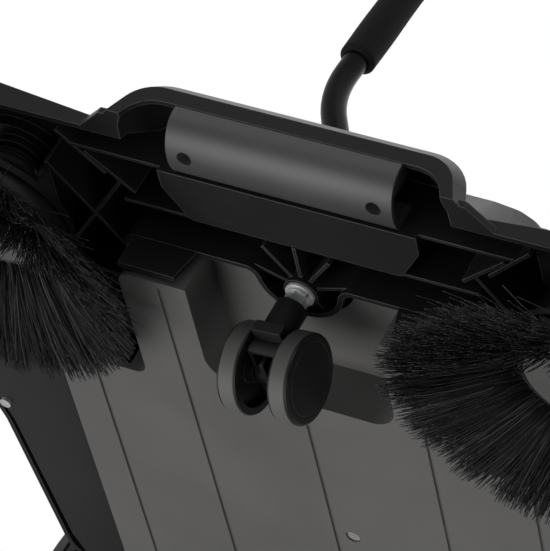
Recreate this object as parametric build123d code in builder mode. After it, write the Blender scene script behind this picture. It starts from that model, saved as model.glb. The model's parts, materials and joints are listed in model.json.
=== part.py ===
from build123d import *
from math import cos, radians, sin, tan
import os

os.makedirs("parts", exist_ok=True)

# Manual push sweeper. Millimetres, +Z up, front towards -Y, floor at Z 0.
# The origin is on the floor, in the middle of the whole object's box.

# Overall layout
OVERALL_LENGTH = 736.0
WHEEL_DIA = 200.0
WHEEL_WIDTH = 36.0
WHEEL_CENTRE_X = 258.0
BRUSH_CENTRE_X = 178.0
BRUSH_TIP_RADIUS = 108.0
BRUSH_TILT = 6.0
CASTOR_SETBACK = 17.5
FLOOR_GAP = 1.0

# Clearances
RUNNING_GAP = 0.06
PRESS_GAP = 0.02
FREE_GAP = 0.4
SEAT_GAP = 0.3
BAY_GAP = 3.0

# Housing
WALL = 3.0
SKIRT_Z = 66.0
DECK_FRONT_Y = -84.0
DECK_REAR_Y = 345.0
DECK_FRONT_Z = 92.0
DECK_REAR_Z = 150.0
BODY_HALF_WIDTH = 214.0
DECK_HALF_WIDTH = 268.0
BODY_FRONT_Y = 30.0
BODY_REAR_Y = 560.0
BODY_TOP_Z = 232.0
BAY_HALF_WIDTH = 161.0
BAY_SHOULDER_Y = 80.0
BAY_REAR_Y = 548.0
TONGUE_HALF_WIDTH = 102.0
TONGUE_FRONT_Y = -9.0
BOSS_WRAP_RADIUS = 26.0
BOSS_WRAP_CORNER = 6.0
BOSS_WRAP_Y = -8.0
BAY_CORNER = 8.0
FRONT_BAND_Z = 74.0
HUMP_TOP_Z = 111.5
HUMP_FOOT_Z = 81.0
HUMP_REAR_Y = 60.0
RIB_LOW_Z = 74.0

# Front carry handle
BAR_FRONT_Y = -102.5
BAR_REAR_Y = -67.0
BAR_TOP_Z = 105.8
BAR_LOWER_Z = 88.5
BAR_FACE = 9.0
BAR_BEVEL = 8.0
ARCH_HALF_WIDTH = 92.2
ARCH_CORNER = 27.0
ARCH_LEAN = 0.4
ARCH_LIP = 6.0
ARCH_OPENING = 84.4
ARCH_OPENING_CORNER = 19.0
ARCH_OPENING_LEAN = 0.526
GRIP_SEAT_Z = 98.0
POCKET_REAR_Y = -32.0
POCKET_FLOOR_Z = 71.0
POCKET_REAR_HALF = 62.0
POCKET_FRONT_HALF = 75.0
GRIP_HALF_LENGTH = 65.0
GRIP_WALL = 3.0
GRIP_SCREW_X = 54.4
GRIP_SCREW_Y = -84.0

# Castor
CASTOR_WHEEL_DIA = 50.0
CASTOR_WHEEL_WIDTH = 12.0
CASTOR_WHEEL_OFFSET = 15.5
CASTOR_TRAIL = 17.0
CASTOR_REST_TURN = -7.0
CASTOR_BOSS_Z = 66.5
STEM_RADIUS = 4.0
NUT_WIDTH = 11.5
NUT_HEIGHT = 6.5

# Brush
BRISTLE_HEIGHT = 33.0
BLOCK_RADIUS = 47.5
BACKING_RADIUS = 50.0
HUB_RADIUS = 37.0
HUB_LOW = 30.0
BRUSH_SHAFT_RADIUS = 5.0
BRUSH_PULLEY_RADIUS = 11.0
BRUSH_PULLEY_HEIGHT = 66.0
BRUSH_BUSH_LOW = 73.7
BRUSH_BUSH_TOP = 88.0

# Drive
AXLE_RADIUS = 6.0
DRIVE_PULLEY_RADIUS = 22.0
DRIVE_PULLEY_X = 190.0
BELT_RADIUS = 3.0
COVER_THICK = 2.5

# Hopper
HOPPER_FLOOR_Z = 44.0
HOPPER_WALL = 2.6
RECESS_HALF_WIDTH = 57.0
RECESS_REAR_Y = 67.0
RECESS_CEILING_Z = 74.0
GROOVE_SPACING = 74.0
GROOVE_WIDTH = 2.4
GROOVE_DEPTH = 1.2

# Push handle
PIVOT_Y = 384.0
PIVOT_Z = 214.0
HANDLE_LEAN = 8.0
TUBE_RADIUS = 9.5
TUBE_WALL = 1.5
LEG_X = BODY_HALF_WIDTH + TUBE_RADIUS + 0.5
GRIP_X = LEG_X + 58.5
HANDLE_LENGTH = 790.0
BEND_RADIUS = 95.0
JOGGLE_ANGLE = 32.0
FOAM_START = 368.0
FOAM_LENGTH = 300.0
FOAM_RADIUS = 14.4

# Places that follow from the driving dimensions
TILT_SIN = sin(radians(BRUSH_TILT))
TILT_COS = cos(radians(BRUSH_TILT))
BRUSH_Y = -OVERALL_LENGTH / 2 + BRUSH_TIP_RADIUS * TILT_COS
BRUSH_Z = FLOOR_GAP + BRUSH_TIP_RADIUS * TILT_SIN
CASTOR_Y = BRUSH_Y + CASTOR_SETBACK
AXLE_Y = OVERALL_LENGTH / 2 - WHEEL_DIA / 2
AXLE_Z = WHEEL_DIA / 2
SIDES = (("left", -1), ("right", 1))


def at(y):
    """Y in the part's frame of a place given from the castor's stem."""
    return CASTOR_Y + y


def save(piece, name):
    """Labels one piece and writes it as its own file."""
    piece.label = name
    export_step(piece, "parts/" + name + ".step")


def deck_z(y):
    """Height of the sloping deck over a place given from the castor's stem."""
    share = (y - DECK_FRONT_Y) / (DECK_REAR_Y - DECK_FRONT_Y)
    return DECK_FRONT_Z + share * (DECK_REAR_Z - DECK_FRONT_Z)


def deck_block(inset, below):
    """The wide low deck over the brushes, pulled in by inset."""
    right = [
        (BRUSH_CENTRE_X + 12, DECK_FRONT_Y),
        (BRUSH_CENTRE_X + 54, DECK_FRONT_Y + 12),
        (DECK_HALF_WIDTH - 4, DECK_FRONT_Y + 70),
        (DECK_HALF_WIDTH, 90),
        (BODY_HALF_WIDTH + 21, 208),
        (BODY_HALF_WIDTH + 5.5, DECK_REAR_Y),
    ]
    points = [(x, at(y)) for x, y in right]
    points += [(-x, y) for x, y in reversed(points)]
    with BuildPart() as block:
        with BuildSketch(Plane.XY.offset(SKIRT_Z - below)):
            with BuildLine():
                FilletPolyline(*points, radius=24, close=True)
            make_face()
            if inset > 0:
                offset(amount=-inset)
        extrude(amount=DECK_REAR_Z)
        low = -10.0
        with BuildSketch(Plane.YZ):
            with BuildLine():
                Polyline(
                    (at(DECK_FRONT_Y - 20), low),
                    (at(DECK_FRONT_Y - 20), deck_z(DECK_FRONT_Y - 20) - inset),
                    (at(DECK_REAR_Y + 20), deck_z(DECK_REAR_Y + 20) - inset),
                    (at(DECK_REAR_Y + 20), low),
                    close=True,
                )
            make_face()
        extrude(amount=400, both=True, mode=Mode.INTERSECT)
        if inset == 0:
            tops = block.faces().filter_by(lambda face: face.normal_at().Z > 0.7)
            fillet(tops.edges(), radius=3.5)
        # a bevel along the front that gets deeper towards the middle
        for name, sign in SIDES:
            edge = (sign * 165, at(DECK_FRONT_Y), 86.9 - inset * 1.17)
            slope = Plane(origin=edge, x_dir=(1, 0, sign * 0.1), z_dir=(-sign * 0.1, -0.6, 1))
            with BuildSketch(slope):
                Rectangle(330, 400)
            extrude(amount=70, mode=Mode.SUBTRACT)
    return block.part


def body_block(inset, below):
    """The taller body behind the deck, on both sides of the hopper, pulled in by inset."""
    front = at(BODY_FRONT_Y) + inset
    rear = at(BODY_REAR_Y) - inset
    top = BODY_TOP_Z - inset
    with BuildPart() as block:
        with BuildSketch(Plane.YZ):
            with BuildLine():
                FilletPolyline(
                    (front, SKIRT_Z - below),
                    (front, 104 - inset),
                    (at(190), top - 34),
                    (at(310), top),
                    (rear - 40, top),
                    (rear, top - 30),
                    (rear, SKIRT_Z - below),
                    radius=18,
                )
                Line((rear, SKIRT_Z - below), (front, SKIRT_Z - below))
            make_face()
        extrude(amount=BODY_HALF_WIDTH - inset, both=True)
        if inset == 0:
            chains = block.faces().filter_by(Axis.X).edges()
            chains = chains.filter_by_position(Axis.Z, SKIRT_Z + 1, 400)
            chains = chains.filter_by(lambda edge: edge.center().Z > 140)
            fillet(chains, radius=8)
    return block.part


def bay_plan(grow, wrap=True):
    """Plan of the hopper's bay as a face at Z 0, grown by grow, with the castor boss left out."""
    with BuildSketch() as plan:
        with Locations((0, at((TONGUE_FRONT_Y + BAY_SHOULDER_Y + 20) / 2))):
            Rectangle(2 * TONGUE_HALF_WIDTH, BAY_SHOULDER_Y + 20 - TONGUE_FRONT_Y)
        with Locations((0, at((BAY_SHOULDER_Y + BAY_REAR_Y) / 2))):
            Rectangle(2 * BAY_HALF_WIDTH, BAY_REAR_Y - BAY_SHOULDER_Y)
        if grow != 0:
            offset(amount=grow, kind=Kind.INTERSECTION)
        fillet(plan.vertices(), radius=BAY_CORNER)
        if wrap:
            with Locations((0, at(BOSS_WRAP_Y))):
                Circle(BOSS_WRAP_RADIUS - grow, mode=Mode.SUBTRACT)
            corners = plan.vertices().filter_by(
                lambda point: abs(point.X) < BOSS_WRAP_RADIUS + 3 and point.Y < at(BOSS_WRAP_Y + 6)
            )
            fillet(corners, radius=max(0.8, BOSS_WRAP_CORNER + grow))
    return plan.sketch


def plate(x0, x1, y0, y1, z0, z1):
    """A plain block between two corners, Y given from the castor's stem."""
    size = (abs(x1 - x0), abs(y1 - y0), abs(z1 - z0))
    middle = ((x0 + x1) / 2, at((y0 + y1) / 2), (z0 + z1) / 2)
    return Pos(*middle) * Box(*size, mode=Mode.PRIVATE)


def arch_outline(half, top, corner, base, lean):
    """The carry handle's outline from the front, an upside-down U with leaning legs, as a face."""
    foot = half + lean * (top - base)
    with BuildSketch() as outline:
        with BuildLine():
            FilletPolyline((-foot, base), (-half, top), (half, top), (foot, base), radius=corner)
            Line((foot, base), (-foot, base))
        make_face()
    return outline.sketch


def arch_block(inset, below):
    """The carry handle's arch, pulled in by inset; the outer form has a bevelled lip round its front."""
    base = SKIRT_Z - below
    front = at(BAR_FRONT_Y) + inset
    shoulder = at(BAR_FRONT_Y + BAR_BEVEL) + inset
    rear = at(-50)
    face_top = BAR_LOWER_Z + BAR_FACE
    half = ARCH_HALF_WIDTH - ARCH_LIP - inset
    with BuildPart() as block:
        with BuildSketch(Plane.XZ.offset(-front)):
            add(arch_outline(half, face_top - inset * 0.7, ARCH_CORNER - 7, base, ARCH_LEAN))
        with BuildSketch(Plane.XZ.offset(-shoulder)):
            add(arch_outline(half, BAR_TOP_Z - inset, ARCH_CORNER - 3 - inset, base, ARCH_LEAN))
        loft(ruled=True)
        with BuildSketch(Plane.XZ.offset(-shoulder)):
            add(arch_outline(half, BAR_TOP_Z - inset, ARCH_CORNER - 3 - inset, base, ARCH_LEAN))
        with BuildSketch(Plane.XZ.offset(-rear)):
            add(arch_outline(half, HUMP_TOP_Z - inset, ARCH_CORNER - 3 - inset, base, ARCH_LEAN))
        loft(ruled=True)
        if inset == 0:
            with BuildSketch(Plane.XZ.offset(-front)):
                add(arch_outline(half + 2.3, face_top, ARCH_CORNER - 7, base, ARCH_LEAN + 0.06))
            with BuildSketch(Plane.XZ.offset(-shoulder)):
                add(arch_outline(ARCH_HALF_WIDTH, BAR_TOP_Z, ARCH_CORNER, base, ARCH_LEAN))
            loft(ruled=True)
    return block.part


def hump_block(inset):
    """The raised middle of the deck behind the front bar, pulled in by inset."""
    foot = [(104, -83.5), (122, -76), (140, -58), (143, HUMP_REAR_Y)]
    crest = [(100, -60.3), (114, -58), (125, -50.5), (128, HUMP_REAR_Y - 22)]
    with BuildPart() as block:
        for outline, height, share in ((foot, HUMP_FOOT_Z, 0.6), (crest, HUMP_TOP_Z, 1.0)):
            points = [(x, at(y)) for x, y in outline]
            points += [(-x, y) for x, y in reversed(points)]
            with BuildSketch(Plane.XY.offset(height - inset)):
                with BuildLine():
                    FilletPolyline(*points, radius=12, close=True)
                make_face()
                if inset > 0:
                    offset(amount=-inset * share)
        loft(ruled=True)
    return block.part


def pocket_block(inset, z0, z1):
    """The finger pocket behind the bar, between two heights, pulled in by inset."""
    right = [
        (POCKET_REAR_HALF - inset, POCKET_REAR_Y - inset),
        (POCKET_FRONT_HALF - inset, -54),
        (POCKET_FRONT_HALF - inset, BAR_REAR_Y + inset),
    ]
    points = [(x, at(y)) for x, y in right]
    points += [(-x, y) for x, y in reversed(points)]
    with BuildPart() as block:
        with BuildSketch(Plane.XY.offset(z0)):
            with BuildLine():
                FilletPolyline(*points, radius=4, close=True)
            make_face()
        extrude(amount=z1 - z0)
    return block.part


def brush_plane(sign, height):
    """Plane across a brush's tilted axis at a height along it."""
    axis = (0, -TILT_SIN, TILT_COS)
    origin = (sign * BRUSH_CENTRE_X, BRUSH_Y - TILT_SIN * height, BRUSH_Z + TILT_COS * height)
    return Plane(origin=origin, x_dir=(1, 0, 0), z_dir=axis)


def axle_plane(x):
    """Plane across the drive wheels' axis at one X, facing +X."""
    return Plane(origin=(x, AXLE_Y, AXLE_Z), x_dir=(0, 1, 0), z_dir=(1, 0, 0))


def pivot_plane(x):
    """Plane across the push handle's hinge axis at one X, facing +X."""
    return Plane(origin=(x, at(PIVOT_Y), PIVOT_Z), x_dir=(0, 1, 0), z_dir=(1, 0, 0))


def brush_tower(sign):
    """The low dome over a brush's bearing."""
    with BuildPart() as tower:
        with BuildSketch(brush_plane(sign, BRUSH_BUSH_TOP - 10)):
            Circle(24)
        extrude(amount=13)
        fillet(tower.faces().sort_by(Axis.Z)[-1].edges(), radius=6)
    return tower.part


# Places of the drive covers' screws, with the radius of each boss
COVER_SCREWS = (
    (BODY_HALF_WIDTH + 16.5, 190.0, 7.5),
    (BODY_HALF_WIDTH - 7.5, 400.0, 6.0),
    (BODY_HALF_WIDTH - 7.5, 530.0, 6.0),
)
RIBS = (
    (104, -44, 150, 22),
    (104, 24, 150, -44),
    (74, -66, 128, -66),
    (60, -30, 104, -30),
    (112, -74, 137, -48),
    (96, -62, 122, -38),
    (150, -44, 150, 60),
    (104, 40, 158, 40),
    (215, 20, 255, 20),
)
BOSS_RIBS = ((-90, 33), (-125, 34), (-55, 34), (-160, 30), (-20, 30), (55, 18), (125, 18))


def shell_block(inset, below):
    """Deck, body, arch and hump as one form, pulled in by inset."""
    low_part = deck_block(inset, below) + hump_block(inset)
    return low_part + body_block(inset, below) + arch_block(inset, below)


shell_outer = shell_block(0, 0)
shell_inner = shell_block(WALL, 10)
shell_middle = shell_block(WALL / 2, 10)

# Stiffening ribs under the wings, cut to end inside the shell's skin
with BuildPart() as wing_ribs:
    for name, sign in SIDES:
        for x0, y0, x1, y1 in RIBS:
            start = Vector(sign * x0, at(y0))
            end = Vector(sign * x1, at(y1))
            run = end - start
            with BuildSketch(Plane.XY.offset(RIB_LOW_Z)):
                with Locations(Location((start + end) * 0.5, run.get_signed_angle(Vector(1, 0, 0)) * -1)):
                    Rectangle(run.length, 2)
            extrude(amount=HUMP_TOP_Z - RIB_LOW_Z)
    add(shell_middle, mode=Mode.INTERSECT)

with BuildPart() as bay_keep:
    with BuildSketch():
        add(bay_plan(WALL))
    extrude(amount=400)

with BuildPart() as bay_cut:
    with BuildSketch():
        add(bay_plan(0))
    extrude(amount=400)

with BuildPart() as housing:
    add(shell_outer)
    add(shell_inner - bay_keep.part, mode=Mode.SUBTRACT)
    add(bay_cut.part, mode=Mode.SUBTRACT)
    # finger pocket, open at the top, with its floor panel
    add(pocket_block(0, POCKET_FLOOR_Z, HUMP_TOP_Z - 2.4))
    add(pocket_block(WALL, POCKET_FLOOR_Z + WALL, HUMP_TOP_Z + 20), mode=Mode.SUBTRACT)
    # the front rim stays a band that follows the arch
    with BuildSketch(Plane.XZ.offset(-at(-62))):
        add(arch_outline(ARCH_OPENING, BAR_LOWER_Z, ARCH_OPENING_CORNER, SKIRT_Z - 5, ARCH_OPENING_LEAN))
    extrude(amount=80, mode=Mode.SUBTRACT)
    add(plate(-205, 205, -110, -62, SKIRT_Z - 5, FRONT_BAND_Z), mode=Mode.SUBTRACT)
    add(pocket_block(0, POCKET_FLOOR_Z, POCKET_FLOOR_Z + WALL))
    with BuildSketch(Plane.XY.offset(POCKET_FLOOR_Z)):
        with Locations((0, at(BAR_REAR_Y + WALL / 2))):
            Rectangle(2 * POCKET_FRONT_HALF, WALL)
    extrude(amount=HUMP_TOP_Z - POCKET_FLOOR_Z - 2.4)
    # the rim runs back from each foot of the arch to the wing
    for name, sign in SIDES:
        foot = [(96, -99), (105, -98.5), (119, DECK_FRONT_Y), (119, -81), (96, -81)]
        with BuildSketch(Plane.XY.offset(FRONT_BAND_Z)):
            with BuildLine():
                Polyline(*[(sign * x, at(y)) for x, y in foot], close=True)
            make_face()
        extrude(amount=4)
    # castor boss and its ribs
    with BuildSketch(Plane.XY.offset(CASTOR_BOSS_Z)):
        with Locations((0, at(0))):
            Circle(10)
    extrude(amount=HUMP_TOP_Z - CASTOR_BOSS_Z - 1)
    for angle, reach in BOSS_RIBS:
        with BuildSketch(Plane.XY.offset(CASTOR_BOSS_Z + 3)):
            with Locations(Location((0, at(0)), angle)):
                with Locations((reach / 2 + 4, 0)):
                    Rectangle(reach - 8, 2)
        extrude(amount=HUMP_TOP_Z - CASTOR_BOSS_Z - 4)
    with BuildSketch(Plane.XY.offset(CASTOR_BOSS_Z - 10)):
        with Locations((0, at(0))):
            Circle(STEM_RADIUS + PRESS_GAP)
    extrude(amount=26, mode=Mode.SUBTRACT)
    # bosses that take the carry grip's screws
    with BuildSketch(Plane.XY.offset(GRIP_SEAT_Z)):
        with Locations((-GRIP_SCREW_X, at(GRIP_SCREW_Y)), (GRIP_SCREW_X, at(GRIP_SCREW_Y))):
            Circle(5)
    extrude(amount=BAR_TOP_Z - GRIP_SEAT_Z - 0.5)
    with BuildSketch(Plane.XY.offset(GRIP_SEAT_Z - 6)):
        with Locations((-GRIP_SCREW_X, at(GRIP_SCREW_Y)), (GRIP_SCREW_X, at(GRIP_SCREW_Y))):
            Circle(2 + PRESS_GAP)
    extrude(amount=11, mode=Mode.SUBTRACT)
    add(wing_ribs.part)
    for name, sign in SIDES:
        # mouth between the wing and the hopper
        inner_edge = sign * (TONGUE_HALF_WIDTH + 8)
        outer_edge = sign * (BAY_HALF_WIDTH - 5)
        add(
            plate(inner_edge, outer_edge, BAY_SHOULDER_Y - 10, BAY_SHOULDER_Y + 10, HOPPER_FLOOR_Z + 6, 102),
            mode=Mode.SUBTRACT,
        )
        # bearing boss under the deck and its dome above
        with BuildSketch(brush_plane(sign, BRUSH_BUSH_LOW - 0.2)):
            Circle(16)
        extrude(amount=11)
        add(brush_tower(sign))
        with BuildSketch(brush_plane(sign, BRUSH_BUSH_LOW - 4)):
            Circle(9 + PRESS_GAP)
        extrude(amount=BRUSH_BUSH_TOP - BRUSH_BUSH_LOW + 4.2, mode=Mode.SUBTRACT)
        # axle bosses
        with BuildSketch(axle_plane(sign * (BODY_HALF_WIDTH - 14))):
            Circle(15)
        extrude(amount=sign * 24)
        with BuildSketch(axle_plane(sign * (BODY_HALF_WIDTH - 16))):
            Circle(10 + PRESS_GAP)
        extrude(amount=sign * 30, mode=Mode.SUBTRACT)
        with BuildSketch(axle_plane(sign * (BAY_HALF_WIDTH + 2))):
            Circle(15)
        extrude(amount=sign * 11)
        with BuildSketch(axle_plane(sign * (BAY_HALF_WIDTH + WALL))):
            Circle(10 + PRESS_GAP)
        extrude(amount=sign * 12, mode=Mode.SUBTRACT)
        # hinge hole of the push handle, in a thicker pad
        with BuildSketch(pivot_plane(sign * (BODY_HALF_WIDTH - 7))):
            Circle(14)
        extrude(amount=sign * 6)
        with BuildSketch(pivot_plane(sign * (BODY_HALF_WIDTH - 9))):
            Circle(STEM_RADIUS + PRESS_GAP)
        extrude(amount=sign * 12, mode=Mode.SUBTRACT)
        # bosses for the drive cover's screws
        for x, y, boss_radius in COVER_SCREWS:
            with BuildSketch(Plane.XY.offset(SKIRT_Z + 3.2)):
                with Locations((sign * x, at(y))):
                    Circle(boss_radius)
            extrude(amount=16)
            with BuildSketch(Plane.XY.offset(SKIRT_Z)):
                with Locations((sign * x, at(y))):
                    Circle(1.8 + PRESS_GAP)
            extrude(amount=16, mode=Mode.SUBTRACT)
save(housing.part, "housing")


def make_guard(name, sign):
    """A flat strip under the bay's front wall, beside the castor, that keeps dirt off the tub's front."""
    outline = [(59.4, SKIRT_Z), (64, HOPPER_FLOOR_Z + 2), (98, HOPPER_FLOOR_Z + 2), (98, SKIRT_Z)]
    with BuildPart() as guard:
        with BuildSketch(Plane.XZ.offset(-at(TONGUE_FRONT_Y))):
            with BuildLine():
                Polyline(*[(sign * x, z) for x, z in outline], close=True)
            make_face()
        extrude(amount=WALL)
    save(guard.part, "front_guard_" + name)


for side, way in SIDES:
    make_guard(side, way)


# Carry grip: a half-round moulding under the front bar
def grip_profile(inset, top):
    """The grip's section in Y and Z up to a top, as a face, pulled in by inset."""
    front = at(BAR_FRONT_Y + 0.3) + inset
    rear = at(BAR_REAR_Y - 1) - inset
    edge = BAR_LOWER_Z - SEAT_GAP - 1.5
    heel = POCKET_FLOOR_Z + 2 + 0.9 * inset
    with BuildSketch() as profile:
        with BuildLine():
            Spline(
                (front, edge),
                (front + 3.5 - 0.3 * inset, BAR_LOWER_Z - 12 + 0.7 * inset),
                (at(GRIP_SCREW_Y), POCKET_FLOOR_Z - 1.5 + inset),
                (rear, heel),
            )
            Polyline((rear, heel), (rear, top), (front, top), (front, edge))
        make_face()
    return profile.sketch


with BuildPart() as carry_grip:
    with BuildSketch(Plane.YZ):
        add(grip_profile(0, BAR_LOWER_Z - SEAT_GAP))
    extrude(amount=GRIP_HALF_LENGTH, both=True)
    with BuildSketch(Plane.YZ):
        add(grip_profile(GRIP_WALL, BAR_LOWER_Z + 12))
    extrude(amount=GRIP_HALF_LENGTH + 5, both=True, mode=Mode.SUBTRACT)
    with BuildSketch(Plane.XY.offset(POCKET_FLOOR_Z + 1.2)):
        with Locations((-GRIP_SCREW_X, at(GRIP_SCREW_Y)), (GRIP_SCREW_X, at(GRIP_SCREW_Y))):
            Circle(6.5)
    extrude(amount=GRIP_SEAT_Z - SEAT_GAP - POCKET_FLOOR_Z - 1.2)
    with BuildSketch(Plane.XY.offset(POCKET_FLOOR_Z - 10)):
        with Locations((-GRIP_SCREW_X, at(GRIP_SCREW_Y)), (GRIP_SCREW_X, at(GRIP_SCREW_Y))):
            Circle(4.2)
    extrude(amount=19, mode=Mode.SUBTRACT)
    with BuildSketch(Plane.XY.offset(POCKET_FLOOR_Z)):
        with Locations((-GRIP_SCREW_X, at(GRIP_SCREW_Y)), (GRIP_SCREW_X, at(GRIP_SCREW_Y))):
            Circle(2.2)
    extrude(amount=40, mode=Mode.SUBTRACT)
save(carry_grip.part, "carry_grip")

with BuildPart() as grip_screws:
    with BuildSketch(Plane.XY.offset(POCKET_FLOOR_Z + 6.6)):
        with Locations((-GRIP_SCREW_X, at(GRIP_SCREW_Y)), (GRIP_SCREW_X, at(GRIP_SCREW_Y))):
            Circle(3.8)
            Rectangle(5, 1, mode=Mode.SUBTRACT)
            Rectangle(1, 5, mode=Mode.SUBTRACT)
    extrude(amount=1.2)
    with BuildSketch(Plane.XY.offset(POCKET_FLOOR_Z + 7.8)):
        with Locations((-GRIP_SCREW_X, at(GRIP_SCREW_Y)), (GRIP_SCREW_X, at(GRIP_SCREW_Y))):
            Circle(3.8)
    extrude(amount=1.2)
    with BuildSketch(Plane.XY.offset(POCKET_FLOOR_Z + 9)):
        with Locations((-GRIP_SCREW_X, at(GRIP_SCREW_Y)), (GRIP_SCREW_X, at(GRIP_SCREW_Y))):
            Circle(2)
    extrude(amount=23)
save(grip_screws.part, "grip_screws")

# Castor: the stem, nut and washer stay with the housing
SPRING_THICK = 1.8
NUT_TOP = CASTOR_BOSS_Z - SPRING_THICK - 1.6
NUT_LOW = NUT_TOP - NUT_HEIGHT
FORK_TOP = NUT_LOW - 1.0

with BuildPart() as castor_stem:
    with BuildSketch(Plane.XY.offset(FORK_TOP - 24)):
        with Locations((0, at(0))):
            Circle(STEM_RADIUS)
    extrude(amount=CASTOR_BOSS_Z + 15 - FORK_TOP + 24)
    chamfer(castor_stem.faces().sort_by(Axis.Z)[-1].edges(), length=0.8)
save(castor_stem.part, "castor_stem")

with BuildPart() as castor_nut:
    with BuildSketch(Plane.XY.offset(NUT_LOW)):
        with Locations((0, at(0))):
            RegularPolygon(NUT_WIDTH / 2, 6, major_radius=False, rotation=28)
            Circle(STEM_RADIUS + PRESS_GAP, mode=Mode.SUBTRACT)
    extrude(amount=NUT_HEIGHT)
save(castor_nut.part, "castor_nut")

# The split spring washer and the flat one over it stay together
with BuildPart() as spring_washer:
    with BuildSketch(Plane.XY.offset(NUT_TOP)):
        with Locations((0, at(0))):
            Circle(7.2)
            Circle(STEM_RADIUS + 0.3, mode=Mode.SUBTRACT)
        with Locations((5.6, at(-3.2))):
            Rectangle(6, 1.2, rotation=-50, mode=Mode.SUBTRACT)
    extrude(amount=SPRING_THICK)
    with BuildSketch(Plane.XY.offset(NUT_TOP + SPRING_THICK)):
        with Locations((0, at(0))):
            Circle(8.4)
            Circle(STEM_RADIUS + 0.3, mode=Mode.SUBTRACT)
    extrude(amount=CASTOR_BOSS_Z - NUT_TOP - SPRING_THICK)
save(spring_washer.part, "spring_washer")

TURN_COS = cos(radians(CASTOR_REST_TURN))
TURN_SIN = sin(radians(CASTOR_REST_TURN))
CASTOR_AXLE_Z = CASTOR_WHEEL_DIA / 2
castor_x = Vector(TURN_COS, TURN_SIN, 0)
castor_y = Vector(-TURN_SIN, TURN_COS, 0)
castor_axle_at = Vector(0, at(0), CASTOR_AXLE_Z) + castor_y * CASTOR_TRAIL


def castor_across(distance):
    """Plane across the castor's axle, at a distance along it."""
    return Plane(origin=castor_axle_at + castor_x * distance, x_dir=castor_y, z_dir=castor_x)


def castor_half():
    """Plane that holds the castor's axle as its X and the way out from it as its Y."""
    return Plane(origin=castor_axle_at, x_dir=castor_x, z_dir=(0, 0, 1))


CASTOR_AXIS = Axis(tuple(castor_axle_at), tuple(castor_x))
FORK_HALF = CASTOR_WHEEL_OFFSET - CASTOR_WHEEL_WIDTH / 2 - 1.0
fork_flat = Plane(origin=(0, at(0), 0), x_dir=castor_x, z_dir=(0, 0, 1))

with BuildPart() as castor_fork:
    with BuildSketch(castor_across(-FORK_HALF)):
        Circle(21)
        with Locations((0, -14)):
            Rectangle(50, 20, mode=Mode.SUBTRACT)
    extrude(amount=2 * FORK_HALF)
    with BuildSketch(castor_across(-FORK_HALF + 2)):
        Circle(18.5)
        with Locations((0, -6)):
            Rectangle(37, 10)
    extrude(amount=2 * FORK_HALF - 4, mode=Mode.SUBTRACT)
    with BuildSketch(fork_flat.offset(CASTOR_AXLE_Z + 5)):
        with Locations((0, 3)):
            Rectangle(2 * FORK_HALF, 26)
    extrude(amount=7)
    with BuildSketch(fork_flat.offset(CASTOR_AXLE_Z + 5)):
        Circle(9)
    extrude(amount=FORK_TOP - CASTOR_AXLE_Z - 5)
    with BuildSketch(castor_across(-FORK_HALF)):
        Circle(6.5)
    extrude(amount=2 * FORK_HALF)
    with BuildSketch(castor_across(-1.2)):
        with Locations((-4, 4)):
            Rectangle(22, 24)
    extrude(amount=2.4)
    with BuildSketch(fork_flat.offset(FORK_TOP - 26)):
        Circle(STEM_RADIUS + RUNNING_GAP)
    extrude(amount=40, mode=Mode.SUBTRACT)
    with BuildSketch(castor_across(-40)):
        Circle(3 + PRESS_GAP)
    extrude(amount=80, mode=Mode.SUBTRACT)
save(castor_fork.part, "castor_fork")

with BuildPart() as castor_axle:
    with BuildSketch(castor_across(-CASTOR_WHEEL_OFFSET - 3)):
        Circle(3)
    extrude(amount=2 * CASTOR_WHEEL_OFFSET + 6)
save(castor_axle.part, "castor_axle")


def make_castor_wheel(name, sign):
    """One castor wheel: a black core with a domed outer face, and its grey tread."""
    inner = CASTOR_WHEEL_OFFSET - CASTOR_WHEEL_WIDTH / 2
    outer = CASTOR_WHEEL_OFFSET + CASTOR_WHEEL_WIDTH / 2
    radius = CASTOR_WHEEL_DIA / 2
    with BuildPart() as core:
        with BuildSketch(castor_half()):
            with BuildLine():
                Polyline(
                    (sign * inner, 3 + RUNNING_GAP),
                    (sign * inner, 7),
                    (sign * (inner + 5), 8),
                    (sign * (inner + 5), radius - 6.5),
                    (sign * (inner + 0.3), radius - 4.6),
                    (sign * (inner + 0.3), radius - 0.6),
                    (sign * (inner + 1.2), radius - 0.6),
                    (sign * (inner + 1.2), radius - 3.2),
                    (sign * (outer - 1.6), radius - 3.2),
                    (sign * (outer - 1.6), radius - 0.6),
                    (sign * (outer - 0.6), radius - 0.6),
                    (sign * (outer + 0.1), radius - 1.8),
                    (sign * (outer + 0.3), radius - 4.6),
                    (sign * (outer - 0.1), radius - 5.0),
                    (sign * (outer + 0.4), radius - 5.4),
                    (sign * (outer + 1.0), 8),
                    (sign * (outer + 1.2), 0),
                    (sign * (CASTOR_WHEEL_OFFSET + 3.5), 0),
                    (sign * (CASTOR_WHEEL_OFFSET + 3.5), 3 + RUNNING_GAP),
                    close=True,
                )
            make_face()
        revolve(axis=CASTOR_AXIS)
    save(core.part, "castor_wheel_" + name)
    with BuildPart() as tread:
        with BuildSketch(castor_half()):
            with BuildLine():
                FilletPolyline(
                    (sign * (inner + 1.2 + PRESS_GAP), radius - 3.2 + PRESS_GAP),
                    (sign * (inner + 1.2 + PRESS_GAP), radius),
                    (sign * (outer - 1.6 - PRESS_GAP), radius),
                    (sign * (outer - 1.6 - PRESS_GAP), radius - 3.2 + PRESS_GAP),
                    radius=0.6,
                )
                Line(
                    (sign * (outer - 1.6 - PRESS_GAP), radius - 3.2 + PRESS_GAP),
                    (sign * (inner + 1.2 + PRESS_GAP), radius - 3.2 + PRESS_GAP),
                )
            make_face()
        revolve(axis=CASTOR_AXIS)
    save(tread.part, "castor_tread_" + name)


for side, way in SIDES:
    make_castor_wheel(side, way)

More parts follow.
